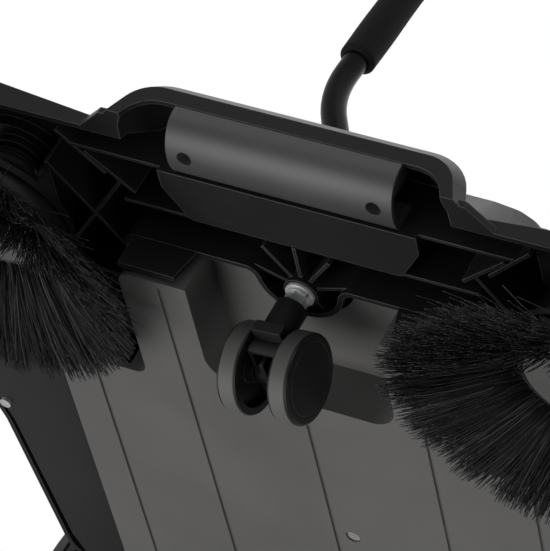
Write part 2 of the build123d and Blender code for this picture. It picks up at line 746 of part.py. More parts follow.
# Disc brushes
STRAND_ROWS = ((38.9, 84.0, 60), (41.5, 96.0, 66), (44.2, BRUSH_TIP_RADIUS - 0.7, 72))
SLICE_LOW = BRISTLE_HEIGHT - 2.0
SLICE_TOP = BRISTLE_HEIGHT + 7.0


def strand(plane, base_radius, tip_radius, turn, sweep_back):
    """One four-sided bristle from the backing out to the floor."""
    root = plane.offset(SLICE_LOW + 1.0)
    tip = plane
    faces = []
    for flat, radius, angle, half in (
        (root, base_radius, turn, 0.9),
        (tip, tip_radius, turn + sweep_back, 0.7),
    ):
        c = cos(radians(angle))
        s = sin(radians(angle))
        corners = []
        for du, dv in ((-half, -half), (half, -half), (half, half), (-half, half)):
            u = c * (radius + du) - s * dv
            v = s * (radius + du) + c * dv
            corners.append(flat.from_local_coords((u, v, 0)))
        faces.append(Face(Wire.make_polygon(corners, close=True)))
    return Solid.make_loft([face.outer_wire() for face in faces], ruled=True)


def make_brush(name, sign):
    """The turning pieces of one disc brush."""
    base = brush_plane(sign, 0)
    with BuildPart() as bristles:
        with BuildSketch(brush_plane(sign, SLICE_LOW)):
            Circle(BLOCK_RADIUS)
            Circle(HUB_RADIUS + 0.6, mode=Mode.SUBTRACT)
        extrude(amount=SLICE_TOP - SLICE_LOW)
        strands = []
        for base_radius, tip_radius, count in STRAND_ROWS:
            for index in range(count):
                turn = -90.0 + index * 360.0 / count
                strands.append(strand(base, base_radius, tip_radius, turn, 0.0))
        add(strands)
    save(bristles.part, "brush_bristles_" + name)
    with BuildPart() as backing:
        with BuildSketch(brush_plane(sign, SLICE_TOP)):
            Circle(BACKING_RADIUS)
        extrude(amount=4)
        with BuildSketch(brush_plane(sign, SLICE_TOP + 4)):
            Circle(13)
        extrude(amount=BRUSH_PULLEY_HEIGHT - 6.4 - SLICE_TOP - 4)
        with BuildSketch(brush_plane(sign, SLICE_TOP - 1)):
            Circle(BRUSH_SHAFT_RADIUS + PRESS_GAP)
        extrude(amount=40, mode=Mode.SUBTRACT)
    save(backing.part, "brush_backing_" + name)
    with BuildPart() as hub:
        with BuildSketch(brush_plane(sign, HUB_LOW)):
            Circle(HUB_RADIUS)
        extrude(amount=SLICE_TOP - HUB_LOW)
        fillet(hub.faces().sort_by(Axis.Z)[0].edges(), radius=2)
        with BuildSketch(brush_plane(sign, HUB_LOW - 1)):
            Circle(11)
        extrude(amount=7, mode=Mode.SUBTRACT)
        with BuildSketch(brush_plane(sign, HUB_LOW)):
            Circle(3.2)
        extrude(amount=20, mode=Mode.SUBTRACT)
        with BuildSketch(brush_plane(sign, HUB_LOW + 8)):
            Circle(BRUSH_SHAFT_RADIUS + PRESS_GAP)
        extrude(amount=30, mode=Mode.SUBTRACT)
    save(hub.part, "brush_hub_" + name)
    with BuildPart() as screw:
        with BuildSketch(brush_plane(sign, HUB_LOW + 1.5)):
            Circle(7)
            RegularPolygon(2.6, 6, mode=Mode.SUBTRACT)
        extrude(amount=2.5)
        with BuildSketch(brush_plane(sign, HUB_LOW + 4)):
            Circle(7)
        extrude(amount=2)
        with BuildSketch(brush_plane(sign, HUB_LOW + 6)):
            Circle(3)
        extrude(amount=18)
    save(screw.part, "brush_screw_" + name)
    with BuildPart() as shaft:
        with BuildSketch(brush_plane(sign, HUB_LOW + 8)):
            Circle(BRUSH_SHAFT_RADIUS)
        extrude(amount=BRUSH_BUSH_TOP - 0.5 - HUB_LOW - 8)
        with BuildSketch(brush_plane(sign, HUB_LOW + 7)):
            Circle(3 + PRESS_GAP)
        extrude(amount=18, mode=Mode.SUBTRACT)
    save(shaft.part, "brush_shaft_" + name)
    with BuildPart() as pulley:
        with BuildSketch(brush_plane(sign, BRUSH_PULLEY_HEIGHT - 6)):
            Circle(BRUSH_PULLEY_RADIUS + 2.5)
        extrude(amount=12)
        groove = brush_plane(sign, BRUSH_PULLEY_HEIGHT)
        upright = Plane(origin=groove.origin, x_dir=(1, 0, 0), z_dir=(0, -TILT_COS, -TILT_SIN))
        with BuildSketch(upright):
            with Locations((BRUSH_PULLEY_RADIUS, 0)):
                Circle(BELT_RADIUS + FREE_GAP)
            with Locations((BRUSH_PULLEY_RADIUS + 4, 0)):
                Rectangle(8, 2 * (BELT_RADIUS + FREE_GAP) + 2)
        revolve(axis=Axis(groove.origin, groove.z_dir), mode=Mode.SUBTRACT)
        with BuildSketch(brush_plane(sign, BRUSH_PULLEY_HEIGHT - 8)):
            Circle(BRUSH_SHAFT_RADIUS + PRESS_GAP)
        extrude(amount=20, mode=Mode.SUBTRACT)
    save(pulley.part, "brush_pulley_" + name)
    with BuildPart() as bush:
        with BuildSketch(brush_plane(sign, BRUSH_BUSH_LOW)):
            Circle(9)
            Circle(BRUSH_SHAFT_RADIUS + RUNNING_GAP, mode=Mode.SUBTRACT)
        extrude(amount=BRUSH_BUSH_TOP - BRUSH_BUSH_LOW)
    save(bush.part, "brush_bush_" + name)


for side, way in SIDES:
    make_brush(side, way)


# Drive wheels, axles, pulleys and bushes
def make_wheel(name, sign):
    """The turning pieces of one drive wheel, and the bushes its axle runs in."""
    radius = WHEEL_DIA / 2
    half = WHEEL_WIDTH / 2
    along = Plane(origin=(0, AXLE_Y, AXLE_Z), x_dir=(1, 0, 0), z_dir=(0, 0, 1))
    spin = Axis((0, AXLE_Y, AXLE_Z), (1, 0, 0))
    centre = sign * WHEEL_CENTRE_X
    with BuildPart() as tyre:
        with BuildSketch(along):
            with BuildLine():
                FilletPolyline(
                    (centre - half, radius - 14),
                    (centre - half, radius - 5),
                    (centre - half + 9, radius),
                    (centre + half - 9, radius),
                    (centre + half, radius - 5),
                    (centre + half, radius - 14),
                    radius=3,
                )
                Line((centre + half, radius - 14), (centre - half, radius - 14))
            make_face()
            with Locations((centre - 7, radius), (centre, radius), (centre + 7, radius)):
                Rectangle(2, 4, mode=Mode.SUBTRACT)
        revolve(axis=spin)
    save(tyre.part, "wheel_tyre_" + name)
    with BuildPart() as rim:
        with BuildSketch(along):
            with Locations((centre, 14)):
                Rectangle(2 * half + 4, 28)
            with Locations((centre + sign * 4, radius / 2)):
                Rectangle(6, radius - 30)
            with Locations((centre, radius - 17 - PRESS_GAP)):
                Rectangle(2 * half - 3, 6)
        revolve(axis=spin)
        with BuildSketch(axle_plane(centre)):
            with PolarLocations(54, 6):
                SlotOverall(40, 24, rotation=90)
        extrude(amount=40, both=True, mode=Mode.SUBTRACT)
        with BuildSketch(axle_plane(centre)):
            Circle(AXLE_RADIUS + PRESS_GAP)
        extrude(amount=60, both=True, mode=Mode.SUBTRACT)
    save(rim.part, "wheel_rim_" + name)
    face = WHEEL_CENTRE_X + half + 2
    with BuildPart() as cap:
        with BuildSketch(axle_plane(sign * face)):
            Circle(20)
        extrude(amount=sign * 5)
        outer = cap.faces().sort_by(Axis.X)[-1 if sign > 0 else 0]
        fillet(outer.edges(), radius=4)
    save(cap.part, "wheel_cap_" + name)
    with BuildPart() as axle:
        axle_start = BAY_HALF_WIDTH + WALL + 1
        with BuildSketch(axle_plane(sign * axle_start)):
            Circle(AXLE_RADIUS)
        extrude(amount=sign * (face - SEAT_GAP - axle_start))
    save(axle.part, "wheel_axle_" + name)
    with BuildPart() as pulley:
        with BuildSketch(along):
            with Locations((sign * DRIVE_PULLEY_X, (DRIVE_PULLEY_RADIUS + 3) / 2)):
                Rectangle(12, DRIVE_PULLEY_RADIUS + 3)
            with Locations((sign * DRIVE_PULLEY_X, DRIVE_PULLEY_RADIUS)):
                Circle(BELT_RADIUS + FREE_GAP, mode=Mode.SUBTRACT)
            with Locations((sign * DRIVE_PULLEY_X, DRIVE_PULLEY_RADIUS + 4)):
                Rectangle(2 * (BELT_RADIUS + FREE_GAP) + 2, 8, mode=Mode.SUBTRACT)
        revolve(axis=spin)
        with BuildSketch(axle_plane(sign * DRIVE_PULLEY_X)):
            Circle(AXLE_RADIUS + PRESS_GAP)
        extrude(amount=20, both=True, mode=Mode.SUBTRACT)
    save(pulley.part, "drive_pulley_" + name)
    with BuildPart() as bushes:
        with BuildSketch(axle_plane(sign * (BODY_HALF_WIDTH - 10))):
            Circle(10)
            Circle(AXLE_RADIUS + RUNNING_GAP, mode=Mode.SUBTRACT)
        extrude(amount=sign * 20)
        with BuildSketch(axle_plane(sign * (BAY_HALF_WIDTH + WALL + 0.2))):
            Circle(10)
            Circle(AXLE_RADIUS + RUNNING_GAP, mode=Mode.SUBTRACT)
        extrude(amount=sign * 9.8)
    save(bushes.part, "axle_bushes_" + name)


for side, way in SIDES:
    make_wheel(side, way)


# Round belt: over the drive pulley, a quarter turn along each run, round the brush pulley.
# Its butt joint is a narrow seam under the drive pulley.
def make_belt(name, sign):
    rear_x = sign * DRIVE_PULLEY_X
    groove = brush_plane(sign, BRUSH_PULLEY_HEIGHT)
    out_point = groove.from_local_coords((sign * BRUSH_PULLEY_RADIUS, 0, 0))
    far_point = groove.from_local_coords((0, -BRUSH_PULLEY_RADIUS, 0))
    in_point = groove.from_local_coords((-sign * BRUSH_PULLEY_RADIUS, 0, 0))
    top = Vector(rear_x, AXLE_Y, AXLE_Z + DRIVE_PULLEY_RADIUS)
    back = Vector(rear_x, AXLE_Y + DRIVE_PULLEY_RADIUS, AXLE_Z)
    low = Vector(rear_x, AXLE_Y, AXLE_Z - DRIVE_PULLEY_RADIUS)
    onward = groove.y_dir * -1
    seam = Vector(0, SEAT_GAP, 0)
    with BuildPart() as belt:
        with BuildLine() as loop:
            ThreePointArc(low, back, top)
            Spline(top, out_point, tangents=((0, -1, 0), onward))
            ThreePointArc(out_point, far_point, in_point)
            Spline(in_point, low - seam, tangents=(groove.y_dir, (0, 1, 0)))
        with BuildSketch(Plane(origin=low, z_dir=(0, 1, 0))):
            Circle(BELT_RADIUS)
        sweep(path=loop.line)
    save(belt.part, "drive_belt_" + name)


for side, way in SIDES:
    make_belt(side, way)


# Drive covers close the belt channels from below
def make_cover(name, sign):
    right = [
        (BAY_HALF_WIDTH + WALL + 1, 125),
        (DECK_HALF_WIDTH - 15, 125),
        (BODY_HALF_WIDTH + 15.5, 208),
        (BODY_HALF_WIDTH + 2, 318),
        (BODY_HALF_WIDTH - WALL - 1, DECK_REAR_Y - 10),
        (BODY_HALF_WIDTH - WALL - 1, BAY_REAR_Y),
        (BAY_HALF_WIDTH + WALL + 1, BAY_REAR_Y),
    ]
    points = [(sign * x, at(y)) for x, y in right]
    places = [(sign * x, at(y)) for x, y, boss_radius in COVER_SCREWS]
    with BuildPart() as cover:
        with BuildSketch(Plane.XY.offset(SKIRT_Z + 0.5)):
            with BuildLine():
                FilletPolyline(*points, radius=4, close=True)
            make_face()
            with Locations(places):
                Circle(2.1, mode=Mode.SUBTRACT)
        extrude(amount=COVER_THICK)
    save(cover.part, "drive_cover_" + name)
    with BuildPart() as screws:
        with BuildSketch(Plane.XY.offset(SKIRT_Z - 1.7)):
            with Locations(places):
                Circle(3.6)
        extrude(amount=2.2)
        with BuildSketch(Plane.XY.offset(SKIRT_Z + 0.5)):
            with Locations(places):
                Circle(1.8)
        extrude(amount=12)
    save(screws.part, "cover_screws_" + name)


for side, way in SIDES:
    make_cover(side, way)


# Hopper: an open tub with a mouth behind each brush, and a lid that hangs it on the body
def tub_roof(y):
    """Height of the tub's sloping top edge at a place given from the castor's stem."""
    if y < 160:
        return 112 + (y + 10) * (196 - 112) / 170
    return 196 + (y - 160) * 14 / 400


def tub_block(grow, low, drop):
    """The tub's outer form, grown by grow from the bay's plan, from low to its sloping top."""
    with BuildPart() as block:
        with BuildSketch(Plane.XY.offset(low)):
            add(bay_plan(grow))
        extrude(amount=300)
        with BuildSketch(Plane.YZ):
            with BuildLine():
                Polyline(
                    (at(-40), 0),
                    (at(-40), tub_roof(-40) + drop),
                    (at(160), tub_roof(160) + drop),
                    (at(600), tub_roof(600) + drop),
                    (at(600), 0),
                    close=True,
                )
            make_face()
        extrude(amount=400, both=True, mode=Mode.INTERSECT)
    return block.part


def recess_block(grow):
    """The clearance for the castor under the front of the tub."""
    with BuildPart() as block:
        with BuildSketch(Plane.XY.offset(HOPPER_FLOOR_Z - 10)):
            with Locations((0, at(RECESS_REAR_Y / 2 - 20 + grow / 2))):
                RectangleRounded(
                    2 * (RECESS_HALF_WIDTH + grow), RECESS_REAR_Y + 40 + grow, 16 + grow
                )
        extrude(amount=RECESS_CEILING_Z - HOPPER_FLOOR_Z + 10 + grow)
    return block.part


with BuildPart() as hopper_tub:
    add(tub_block(-BAY_GAP, HOPPER_FLOOR_Z, 0))
    add(
        tub_block(-BAY_GAP - HOPPER_WALL, HOPPER_FLOOR_Z + HOPPER_WALL, 60) - recess_block(HOPPER_WALL),
        mode=Mode.SUBTRACT,
    )
    add(recess_block(0), mode=Mode.SUBTRACT)
    for name, sign in SIDES:
        inner_edge = sign * (TONGUE_HALF_WIDTH + 10)
        outer_edge = sign * (BAY_HALF_WIDTH - 9)
        add(
            plate(inner_edge, outer_edge, BAY_SHOULDER_Y - 4, BAY_SHOULDER_Y + 12, HOPPER_FLOOR_Z + 4, 104),
            mode=Mode.SUBTRACT,
        )
    with BuildSketch(Plane.XY.offset(HOPPER_FLOOR_Z - 1)):
        rear = at(BAY_REAR_Y - 30)
        for x in (-GROOVE_SPACING, 0, GROOVE_SPACING):
            front = at(RECESS_REAR_Y + 20) if abs(x) < RECESS_HALF_WIDTH else at(TONGUE_FRONT_Y + 8)
            if abs(x) > TONGUE_HALF_WIDTH - 8:
                front = at(BAY_SHOULDER_Y + 12)
            with Locations((x, (front + rear) / 2)):
                Rectangle(GROOVE_WIDTH, rear - front)
        for x in (-GROOVE_SPACING * 1.8, GROOVE_SPACING * 1.8):
            front = at(BAY_SHOULDER_Y + 12)
            with Locations((x, (front + rear) / 2)):
                Rectangle(GROOVE_WIDTH, rear - front)
    extrude(amount=1 + GROOVE_DEPTH, mode=Mode.SUBTRACT)
    with BuildSketch(Plane.XY.offset(HOPPER_FLOOR_Z + 1)):
        with Locations((11, at(186))):
            Circle(7)
    extrude(amount=9)
    with BuildSketch(Plane.XY.offset(HOPPER_FLOOR_Z - 1)):
        with Locations((11, at(186))):
            Circle(4.5)
    extrude(amount=4, mode=Mode.SUBTRACT)
    with BuildSketch(Plane.XY.offset(HOPPER_FLOOR_Z)):
        with Locations((11, at(186))):
            Circle(2 + PRESS_GAP)
    extrude(amount=20, mode=Mode.SUBTRACT)
save(hopper_tub.part, "hopper_tub")

with BuildPart() as hopper_screw:
    with BuildSketch(Plane.XY.offset(HOPPER_FLOOR_Z + 1)):
        with Locations((11, at(186))):
            Circle(4)
            Rectangle(5, 1, mode=Mode.SUBTRACT)
            Rectangle(1, 5, mode=Mode.SUBTRACT)
    extrude(amount=1)
    with BuildSketch(Plane.XY.offset(HOPPER_FLOOR_Z + 2)):
        with Locations((11, at(186))):
            Circle(4)
    extrude(amount=1)
    with BuildSketch(Plane.XY.offset(HOPPER_FLOOR_Z + 3)):
        with Locations((11, at(186))):
            Circle(2)
    extrude(amount=6)
save(hopper_screw.part, "hopper_screw")

LID_TOP_Z = 240.0
BAIL_HALF = 72.0
BAIL_Y = 350.0
BAIL_Z = LID_TOP_Z + 8.0


def bail_plane(x):
    """Plane across the bail's hinge axis at one X, facing +X."""
    return Plane(origin=(x, at(BAIL_Y), BAIL_Z), x_dir=(0, 1, 0), z_dir=(1, 0, 0))


def lid_block(inset):
    """The lid's outer form over the tub, pulled in by inset."""
    with BuildPart() as block:
        with BuildSketch():
            add(bay_plan(-BAY_GAP - inset, wrap=False))
        extrude(amount=400)
        with BuildSketch(Plane.YZ):
            with BuildLine():
                FilletPolyline(
                    (at(-40), 100 - inset),
                    (at(26) + inset, 168 - inset),
                    (at(165), 228 - inset),
                    (at(330), LID_TOP_Z - inset),
                    (at(600), LID_TOP_Z - inset),
                    radius=14,
                )
                Polyline(
                    (at(600), LID_TOP_Z - inset),
                    (at(600), tub_roof(600) + SEAT_GAP - inset * 3),
                    (at(160), tub_roof(160) + SEAT_GAP - inset * 3),
                    (at(-40), tub_roof(-40) + SEAT_GAP - inset * 3),
                    (at(-40), 100 - inset),
                )
            make_face()
        extrude(amount=400, both=True, mode=Mode.INTERSECT)
        if inset == 0:
            roof = block.faces().filter_by(lambda face: face.normal_at().Z > 0.2)
            sides = block.faces().filter_by(lambda face: abs(face.normal_at().Z) < 0.05)
            fillet(roof.edges() & sides.edges(), radius=5)
    return block.part


with BuildPart() as hopper_lid:
    add(lid_block(0))
    add(lid_block(WALL), mode=Mode.SUBTRACT)
    for name, sign in SIDES:
        # flange that rests on the body beside the bay
        add(plate(sign * 150, sign * 190, 330, 505, BODY_TOP_Z + SEAT_GAP, BODY_TOP_Z + 4))
        lug_in = sign * (BAIL_HALF + 7)
        lug_out = sign * (BAIL_HALF + 17)
        add(plate(lug_in, lug_out, BAIL_Y - 8, BAIL_Y + 8, LID_TOP_Z - 2, BAIL_Z + 7))
        with BuildSketch(bail_plane(sign * BAIL_HALF)):
            Circle(3 + RUNNING_GAP)
        extrude(amount=sign * 14, mode=Mode.SUBTRACT)
save(hopper_lid.part, "hopper_lid")

with BuildPart() as hopper_bail:
    with BuildLine(Plane.XY.offset(BAIL_Z)) as bail_path:
        FilletPolyline(
            (-BAIL_HALF, at(BAIL_Y)),
            (-BAIL_HALF, at(BAIL_Y - 95)),
            (BAIL_HALF, at(BAIL_Y - 95)),
            (BAIL_HALF, at(BAIL_Y)),
            radius=20,
        )
    with BuildSketch(Plane(origin=bail_path.line @ 0, z_dir=bail_path.line % 0)):
        Circle(5)
    sweep(path=bail_path.line)
    for name, sign in SIDES:
        with BuildSketch(bail_plane(sign * (BAIL_HALF - 6))):
            Circle(6)
        extrude(amount=sign * 12)
        with BuildSketch(bail_plane(sign * BAIL_HALF)):
            Circle(3)
        extrude(amount=sign * 13)
save(hopper_bail.part, "hopper_bail")

# Push handle: one bent tube, end fittings, foam sleeves, hinge bolts and clamp knobs
LEAN_SIN = sin(radians(HANDLE_LEAN))
LEAN_COS = cos(radians(HANDLE_LEAN))
handle_plane = Plane(
    origin=(0, at(PIVOT_Y), PIVOT_Z), x_dir=(1, 0, 0), z_dir=(0, -LEAN_COS, LEAN_SIN)
)
JOGGLE_HIGH = FOAM_START - 14 - BEND_RADIUS * tan(radians(JOGGLE_ANGLE / 2))
JOGGLE_LOW = JOGGLE_HIGH - (GRIP_X - LEG_X) / tan(radians(JOGGLE_ANGLE))
TUBE_START = 20.0


def handle_cross(x, along):
    """Plane across the handle's length at one X and one distance from the hinge."""
    origin = handle_plane.from_local_coords((x, along, 0))
    return Plane(origin=origin, x_dir=(1, 0, 0), z_dir=handle_plane.y_dir)


with BuildPart() as handle_tube:
    with BuildLine(handle_plane) as handle_path:
        FilletPolyline(
            (-LEG_X, TUBE_START),
            (-LEG_X, JOGGLE_LOW),
            (-GRIP_X, JOGGLE_HIGH),
            (-GRIP_X, HANDLE_LENGTH),
            (GRIP_X, HANDLE_LENGTH),
            (GRIP_X, JOGGLE_HIGH),
            (LEG_X, JOGGLE_LOW),
            (LEG_X, TUBE_START),
            radius=BEND_RADIUS,
        )
    with BuildSketch(Plane(origin=handle_path.line @ 0, z_dir=handle_path.line % 0)):
        Circle(TUBE_RADIUS)
        Circle(TUBE_RADIUS - TUBE_WALL, mode=Mode.SUBTRACT)
    sweep(path=handle_path.line)
save(handle_tube.part, "handle_tube")


def make_handle_side(name, sign):
    """The handle's pieces on one side."""
    with BuildPart() as foam:
        with BuildSketch(handle_cross(sign * GRIP_X, FOAM_START)):
            Circle(FOAM_RADIUS)
        extrude(amount=FOAM_LENGTH)
        ends = foam.faces().filter_by(GeomType.PLANE).edges()
        fillet(ends, radius=3)
        with BuildSketch(handle_cross(sign * GRIP_X, FOAM_START - 1)):
            Circle(TUBE_RADIUS + PRESS_GAP)
        extrude(amount=FOAM_LENGTH + 2, mode=Mode.SUBTRACT)
    save(foam.part, "foam_grip_" + name)
    with BuildPart() as end:
        with BuildSketch(pivot_plane(sign * (BODY_HALF_WIDTH + FREE_GAP))):
            Circle(13)
        extrude(amount=sign * 17)
        with BuildSketch(handle_cross(sign * LEG_X, 6)):
            Circle(TUBE_RADIUS - 0.2)
        extrude(amount=TUBE_START - 6)
        with BuildSketch(handle_cross(sign * LEG_X, TUBE_START)):
            Circle(TUBE_RADIUS - TUBE_WALL - PRESS_GAP)
        extrude(amount=28)
        with BuildSketch(pivot_plane(sign * (BODY_HALF_WIDTH - 10))):
            Circle(STEM_RADIUS + RUNNING_GAP)
        extrude(amount=sign * 50, mode=Mode.SUBTRACT)
    save(end.part, "handle_end_" + name)
    with BuildPart() as bolt:
        with BuildSketch(pivot_plane(sign * (BODY_HALF_WIDTH - 12))):
            RegularPolygon(6.5, 6, major_radius=False)
        extrude(amount=sign * 5)
        head_x = BODY_HALF_WIDTH - 7
        with BuildSketch(pivot_plane(sign * head_x)):
            Circle(STEM_RADIUS)
        extrude(amount=sign * (LEG_X + TUBE_RADIUS + 14 - head_x))
    save(bolt.part, "hinge_bolt_" + name)
    with BuildPart() as knob:
        knob_x = LEG_X + TUBE_RADIUS + FREE_GAP
        with BuildSketch(pivot_plane(sign * knob_x)):
            Circle(12)
        extrude(amount=sign * 6)
        with BuildSketch(pivot_plane(sign * (knob_x + 6))):
            Circle(17)
            with PolarLocations(16, 6):
                Circle(6)
        extrude(amount=sign * 13)
        outer = knob.faces().sort_by(Axis.X)[-1 if sign > 0 else 0]
        fillet(outer.edges(), radius=2)
        with BuildSketch(pivot_plane(sign * (knob_x - 1))):
            Circle(STEM_RADIUS + RUNNING_GAP)
        extrude(amount=sign * 16, mode=Mode.SUBTRACT)
    save(knob.part, "clamp_knob_" + name)


for side, way in SIDES:
    make_handle_side(side, way)
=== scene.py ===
"""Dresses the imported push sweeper: finishes on its mouldings, brush filaments, foam sleeves and a stage."""

import json
import math
import random

import bpy
from mathutils import Matrix, Vector


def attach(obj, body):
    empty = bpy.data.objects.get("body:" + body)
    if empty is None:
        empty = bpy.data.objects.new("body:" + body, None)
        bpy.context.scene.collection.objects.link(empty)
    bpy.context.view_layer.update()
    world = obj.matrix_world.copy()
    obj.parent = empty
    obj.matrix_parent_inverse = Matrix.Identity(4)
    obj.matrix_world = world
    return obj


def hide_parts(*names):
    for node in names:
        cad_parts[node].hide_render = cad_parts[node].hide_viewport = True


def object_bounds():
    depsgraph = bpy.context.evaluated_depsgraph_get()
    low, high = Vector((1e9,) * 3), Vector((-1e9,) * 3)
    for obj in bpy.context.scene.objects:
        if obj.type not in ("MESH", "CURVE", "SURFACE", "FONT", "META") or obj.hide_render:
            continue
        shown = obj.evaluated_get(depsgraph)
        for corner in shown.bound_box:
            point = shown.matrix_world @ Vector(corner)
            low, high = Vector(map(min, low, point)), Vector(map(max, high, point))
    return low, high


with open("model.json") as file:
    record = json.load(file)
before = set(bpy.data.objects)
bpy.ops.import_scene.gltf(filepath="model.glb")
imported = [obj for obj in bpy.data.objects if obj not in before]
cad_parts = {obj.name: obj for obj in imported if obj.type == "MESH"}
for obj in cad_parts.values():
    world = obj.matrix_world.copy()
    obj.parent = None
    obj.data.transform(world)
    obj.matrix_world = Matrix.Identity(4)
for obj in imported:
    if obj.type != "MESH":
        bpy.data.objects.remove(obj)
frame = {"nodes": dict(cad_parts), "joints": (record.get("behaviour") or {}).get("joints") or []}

bl_info = {
    "name": "Push sweeper dressing",
    "version": (1, 0, 0),
    "blender": (4, 5, 0),
    "location": "View3D > Sidebar > Sweeper",
    "description": "Finishes, brush filaments, foam sleeves and a stage for a manual push sweeper",
    "category": "Object",
}

CAD_LOW, CAD_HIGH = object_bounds()
SIDES = ("left", "right")
JOINTS = {joint["name"]: joint for joint in frame["joints"]}


# Properties that a user would change


class SweeperCamera(bpy.types.PropertyGroup):
    """Where the photograph was taken from, in the sweeper's own frame."""

    azimuth: bpy.props.FloatProperty(
        name="Azimuth", description="Turn of the camera round the sweeper", subtype="ANGLE",
        default=math.radians(27.9),
    )
    elevation: bpy.props.FloatProperty(
        name="Elevation", description="Height of the camera as an angle; below the floor is negative",
        subtype="ANGLE", default=math.radians(-31.6),
    )
    roll: bpy.props.FloatProperty(
        name="Roll", description="Tilt of the picture", subtype="ANGLE", default=math.radians(30.9),
    )
    eye: bpy.props.FloatVectorProperty(
        name="Eye", description="Place of the camera", subtype="TRANSLATION", unit="LENGTH",
        default=(0.720, -1.6381, -0.898),
    )
    lens: bpy.props.FloatProperty(
        name="Lens", description="Focal length on a 36 mm sensor", unit="CAMERA", default=228.7,
    )


class SweeperLight(bpy.types.PropertyGroup):
    """Levels of the studio light."""

    key: bpy.props.FloatProperty(
        name="Key", description="Soft light in front of the sweeper", unit="POWER", default=1.5
    )
    under: bpy.props.FloatProperty(
        name="Under", description="Soft light on the underside", unit="POWER", default=58.0
    )
    side: bpy.props.FloatProperty(
        name="Side", description="Second light on the underside, from the other side", unit="POWER",
        default=17.0,
    )
    top: bpy.props.FloatProperty(
        name="Top", description="Soft light from above", unit="POWER", default=65.0
    )
    ambient: bpy.props.FloatProperty(
        name="Ambient", description="Even light from all round", default=0.14, min=0.0
    )
    floor_colour: bpy.props.FloatVectorProperty(
        name="Floor", description="Colour of the floor", subtype="COLOR", default=(0.80, 0.80, 0.80)
    )


class SweeperColours(bpy.types.PropertyGroup):
    """Colours of the mouldings, rubber, metal and foam."""

    housing: bpy.props.FloatVectorProperty(
        name="Housing", description="Black moulded chassis", subtype="COLOR", default=(0.010, 0.010, 0.0103)
    )
    # raised above the housing black to stand in for the grip's highlight: painted highlight
    grip: bpy.props.FloatVectorProperty(
        name="Carry grip", description="Half-round front grip", subtype="COLOR",
        default=(0.042, 0.042, 0.0424),
    )
    hopper: bpy.props.FloatVectorProperty(
        name="Hopper", description="Grey dirt tub", subtype="COLOR", default=(0.094, 0.092, 0.090)
    )
    hub: bpy.props.FloatVectorProperty(
        name="Brush hub", description="Grey brush hub", subtype="COLOR", default=(0.065, 0.065, 0.064)
    )
    bristle: bpy.props.FloatVectorProperty(
        name="Bristle", description="Brush filaments", subtype="COLOR", default=(0.0066, 0.0066, 0.0068)
    )
    castor: bpy.props.FloatVectorProperty(
        name="Castor", description="Castor cores and fork", subtype="COLOR", default=(0.0088, 0.0088, 0.0088)
    )
    tread: bpy.props.FloatVectorProperty(
        name="Castor tread", description="Grey castor tread", subtype="COLOR", default=(0.088, 0.087, 0.085)
    )
    tyre: bpy.props.FloatVectorProperty(
        name="Tyre", description="Drive wheel tyre", subtype="COLOR", default=(0.018, 0.018, 0.018)
    )
    tube: bpy.props.FloatVectorProperty(
        name="Push tube", description="Coated handle tube", subtype="COLOR", default=(0.006, 0.006, 0.0062)
    )
    foam: bpy.props.FloatVectorProperty(
        name="Foam", description="Foam sleeves", subtype="COLOR", default=(0.008, 0.008, 0.008)
    )
    zinc: bpy.props.FloatVectorProperty(
        name="Zinc", description="Plated nut, washer and screws", subtype="COLOR", default=(0.78, 0.79, 0.80)
    )
    bronze: bpy.props.FloatVectorProperty(
        name="Bronze", description="Sintered bushes", subtype="COLOR", default=(0.45, 0.31, 0.14)
    )


class SweeperBristles(bpy.types.PropertyGroup):
    """Form of the brush filaments."""

    per_tuft: bpy.props.IntProperty(
        name="Per tuft", description="Filaments in each tuft", default=44, min=4
    )
    radius: bpy.props.FloatProperty(
        name="Radius", description="Half the thickness of a filament", unit="LENGTH", default=0.00034
    )
    reach: bpy.props.FloatProperty(
        name="Reach", description="Furthest tip from the brush's axis", unit="LENGTH", default=0.1072
    )
    ragged: bpy.props.FloatProperty(
        name="Ragged", description="How much shorter the tips may fall", unit="LENGTH", default=0.012
    )
    # the paler filaments partly stand for lit ones: painted highlight
    light: bpy.props.FloatProperty(
        name="Light", description="Share of filaments that are paler", subtype="FACTOR",
        default=0.22, min=0.0, max=1.0,
    )
    stray: bpy.props.FloatProperty(
        name="Stray", description="Share of filaments that bend away from their tuft", subtype="FACTOR",
        default=0.06, min=0.0, max=1.0,
    )
    seed: bpy.props.IntProperty(name="Seed", description="Start of the random draws", default=11)


class SweeperFoam(bpy.types.PropertyGroup):
    """Place and form of the foam sleeves on the push handle."""

    start: bpy.props.FloatProperty(
        name="Start", description="Lower end, along the handle from its hinge", unit="LENGTH", default=0.368
    )
    length: bpy.props.FloatProperty(
        name="Length", description="Length of a sleeve", unit="LENGTH", default=0.300
    )
    radius: bpy.props.FloatProperty(
        name="Radius", description="Outside of a sleeve", unit="LENGTH", default=0.0144
    )
    bore: bpy.props.FloatProperty(
        name="Bore", description="Inside of a sleeve, on the tube", unit="LENGTH", default=0.00956
    )
    lean: bpy.props.FloatProperty(
        name="Lean", description="Lean of the handle at rest", subtype="ANGLE", default=math.radians(8.0)
    )
    spread: bpy.props.FloatProperty(
        name="Spread", description="Each sleeve's distance from the middle", unit="LENGTH", default=0.2825
    )


# Node groups shared by several finishes


def new_group(name, inputs, outputs):
    """An empty shader node group with named sockets, and its two end nodes."""
    group = bpy.data.node_groups.new(name, "ShaderNodeTree")
    for label, kind, value in inputs:
        socket = group.interface.new_socket(name=label, in_out="INPUT", socket_type=kind)
        socket.default_value = value
    for label, kind in outputs:
        group.interface.new_socket(name=label, in_out="OUTPUT", socket_type=kind)
    start = group.nodes.new("NodeGroupInput")
    end = group.nodes.new("NodeGroupOutput")
    return group, start, end


def add_node(tree, kind, **values):
    """A node with some of its own settings."""
    node = tree.nodes.new(kind)
    for key, value in values.items():
        setattr(node, key, value)
    return node


def place_of(tree):
    """The place on the sweeper, which stays with the piece as it moves."""
    return add_node(tree, "ShaderNodeTexCoord").outputs["Object"]


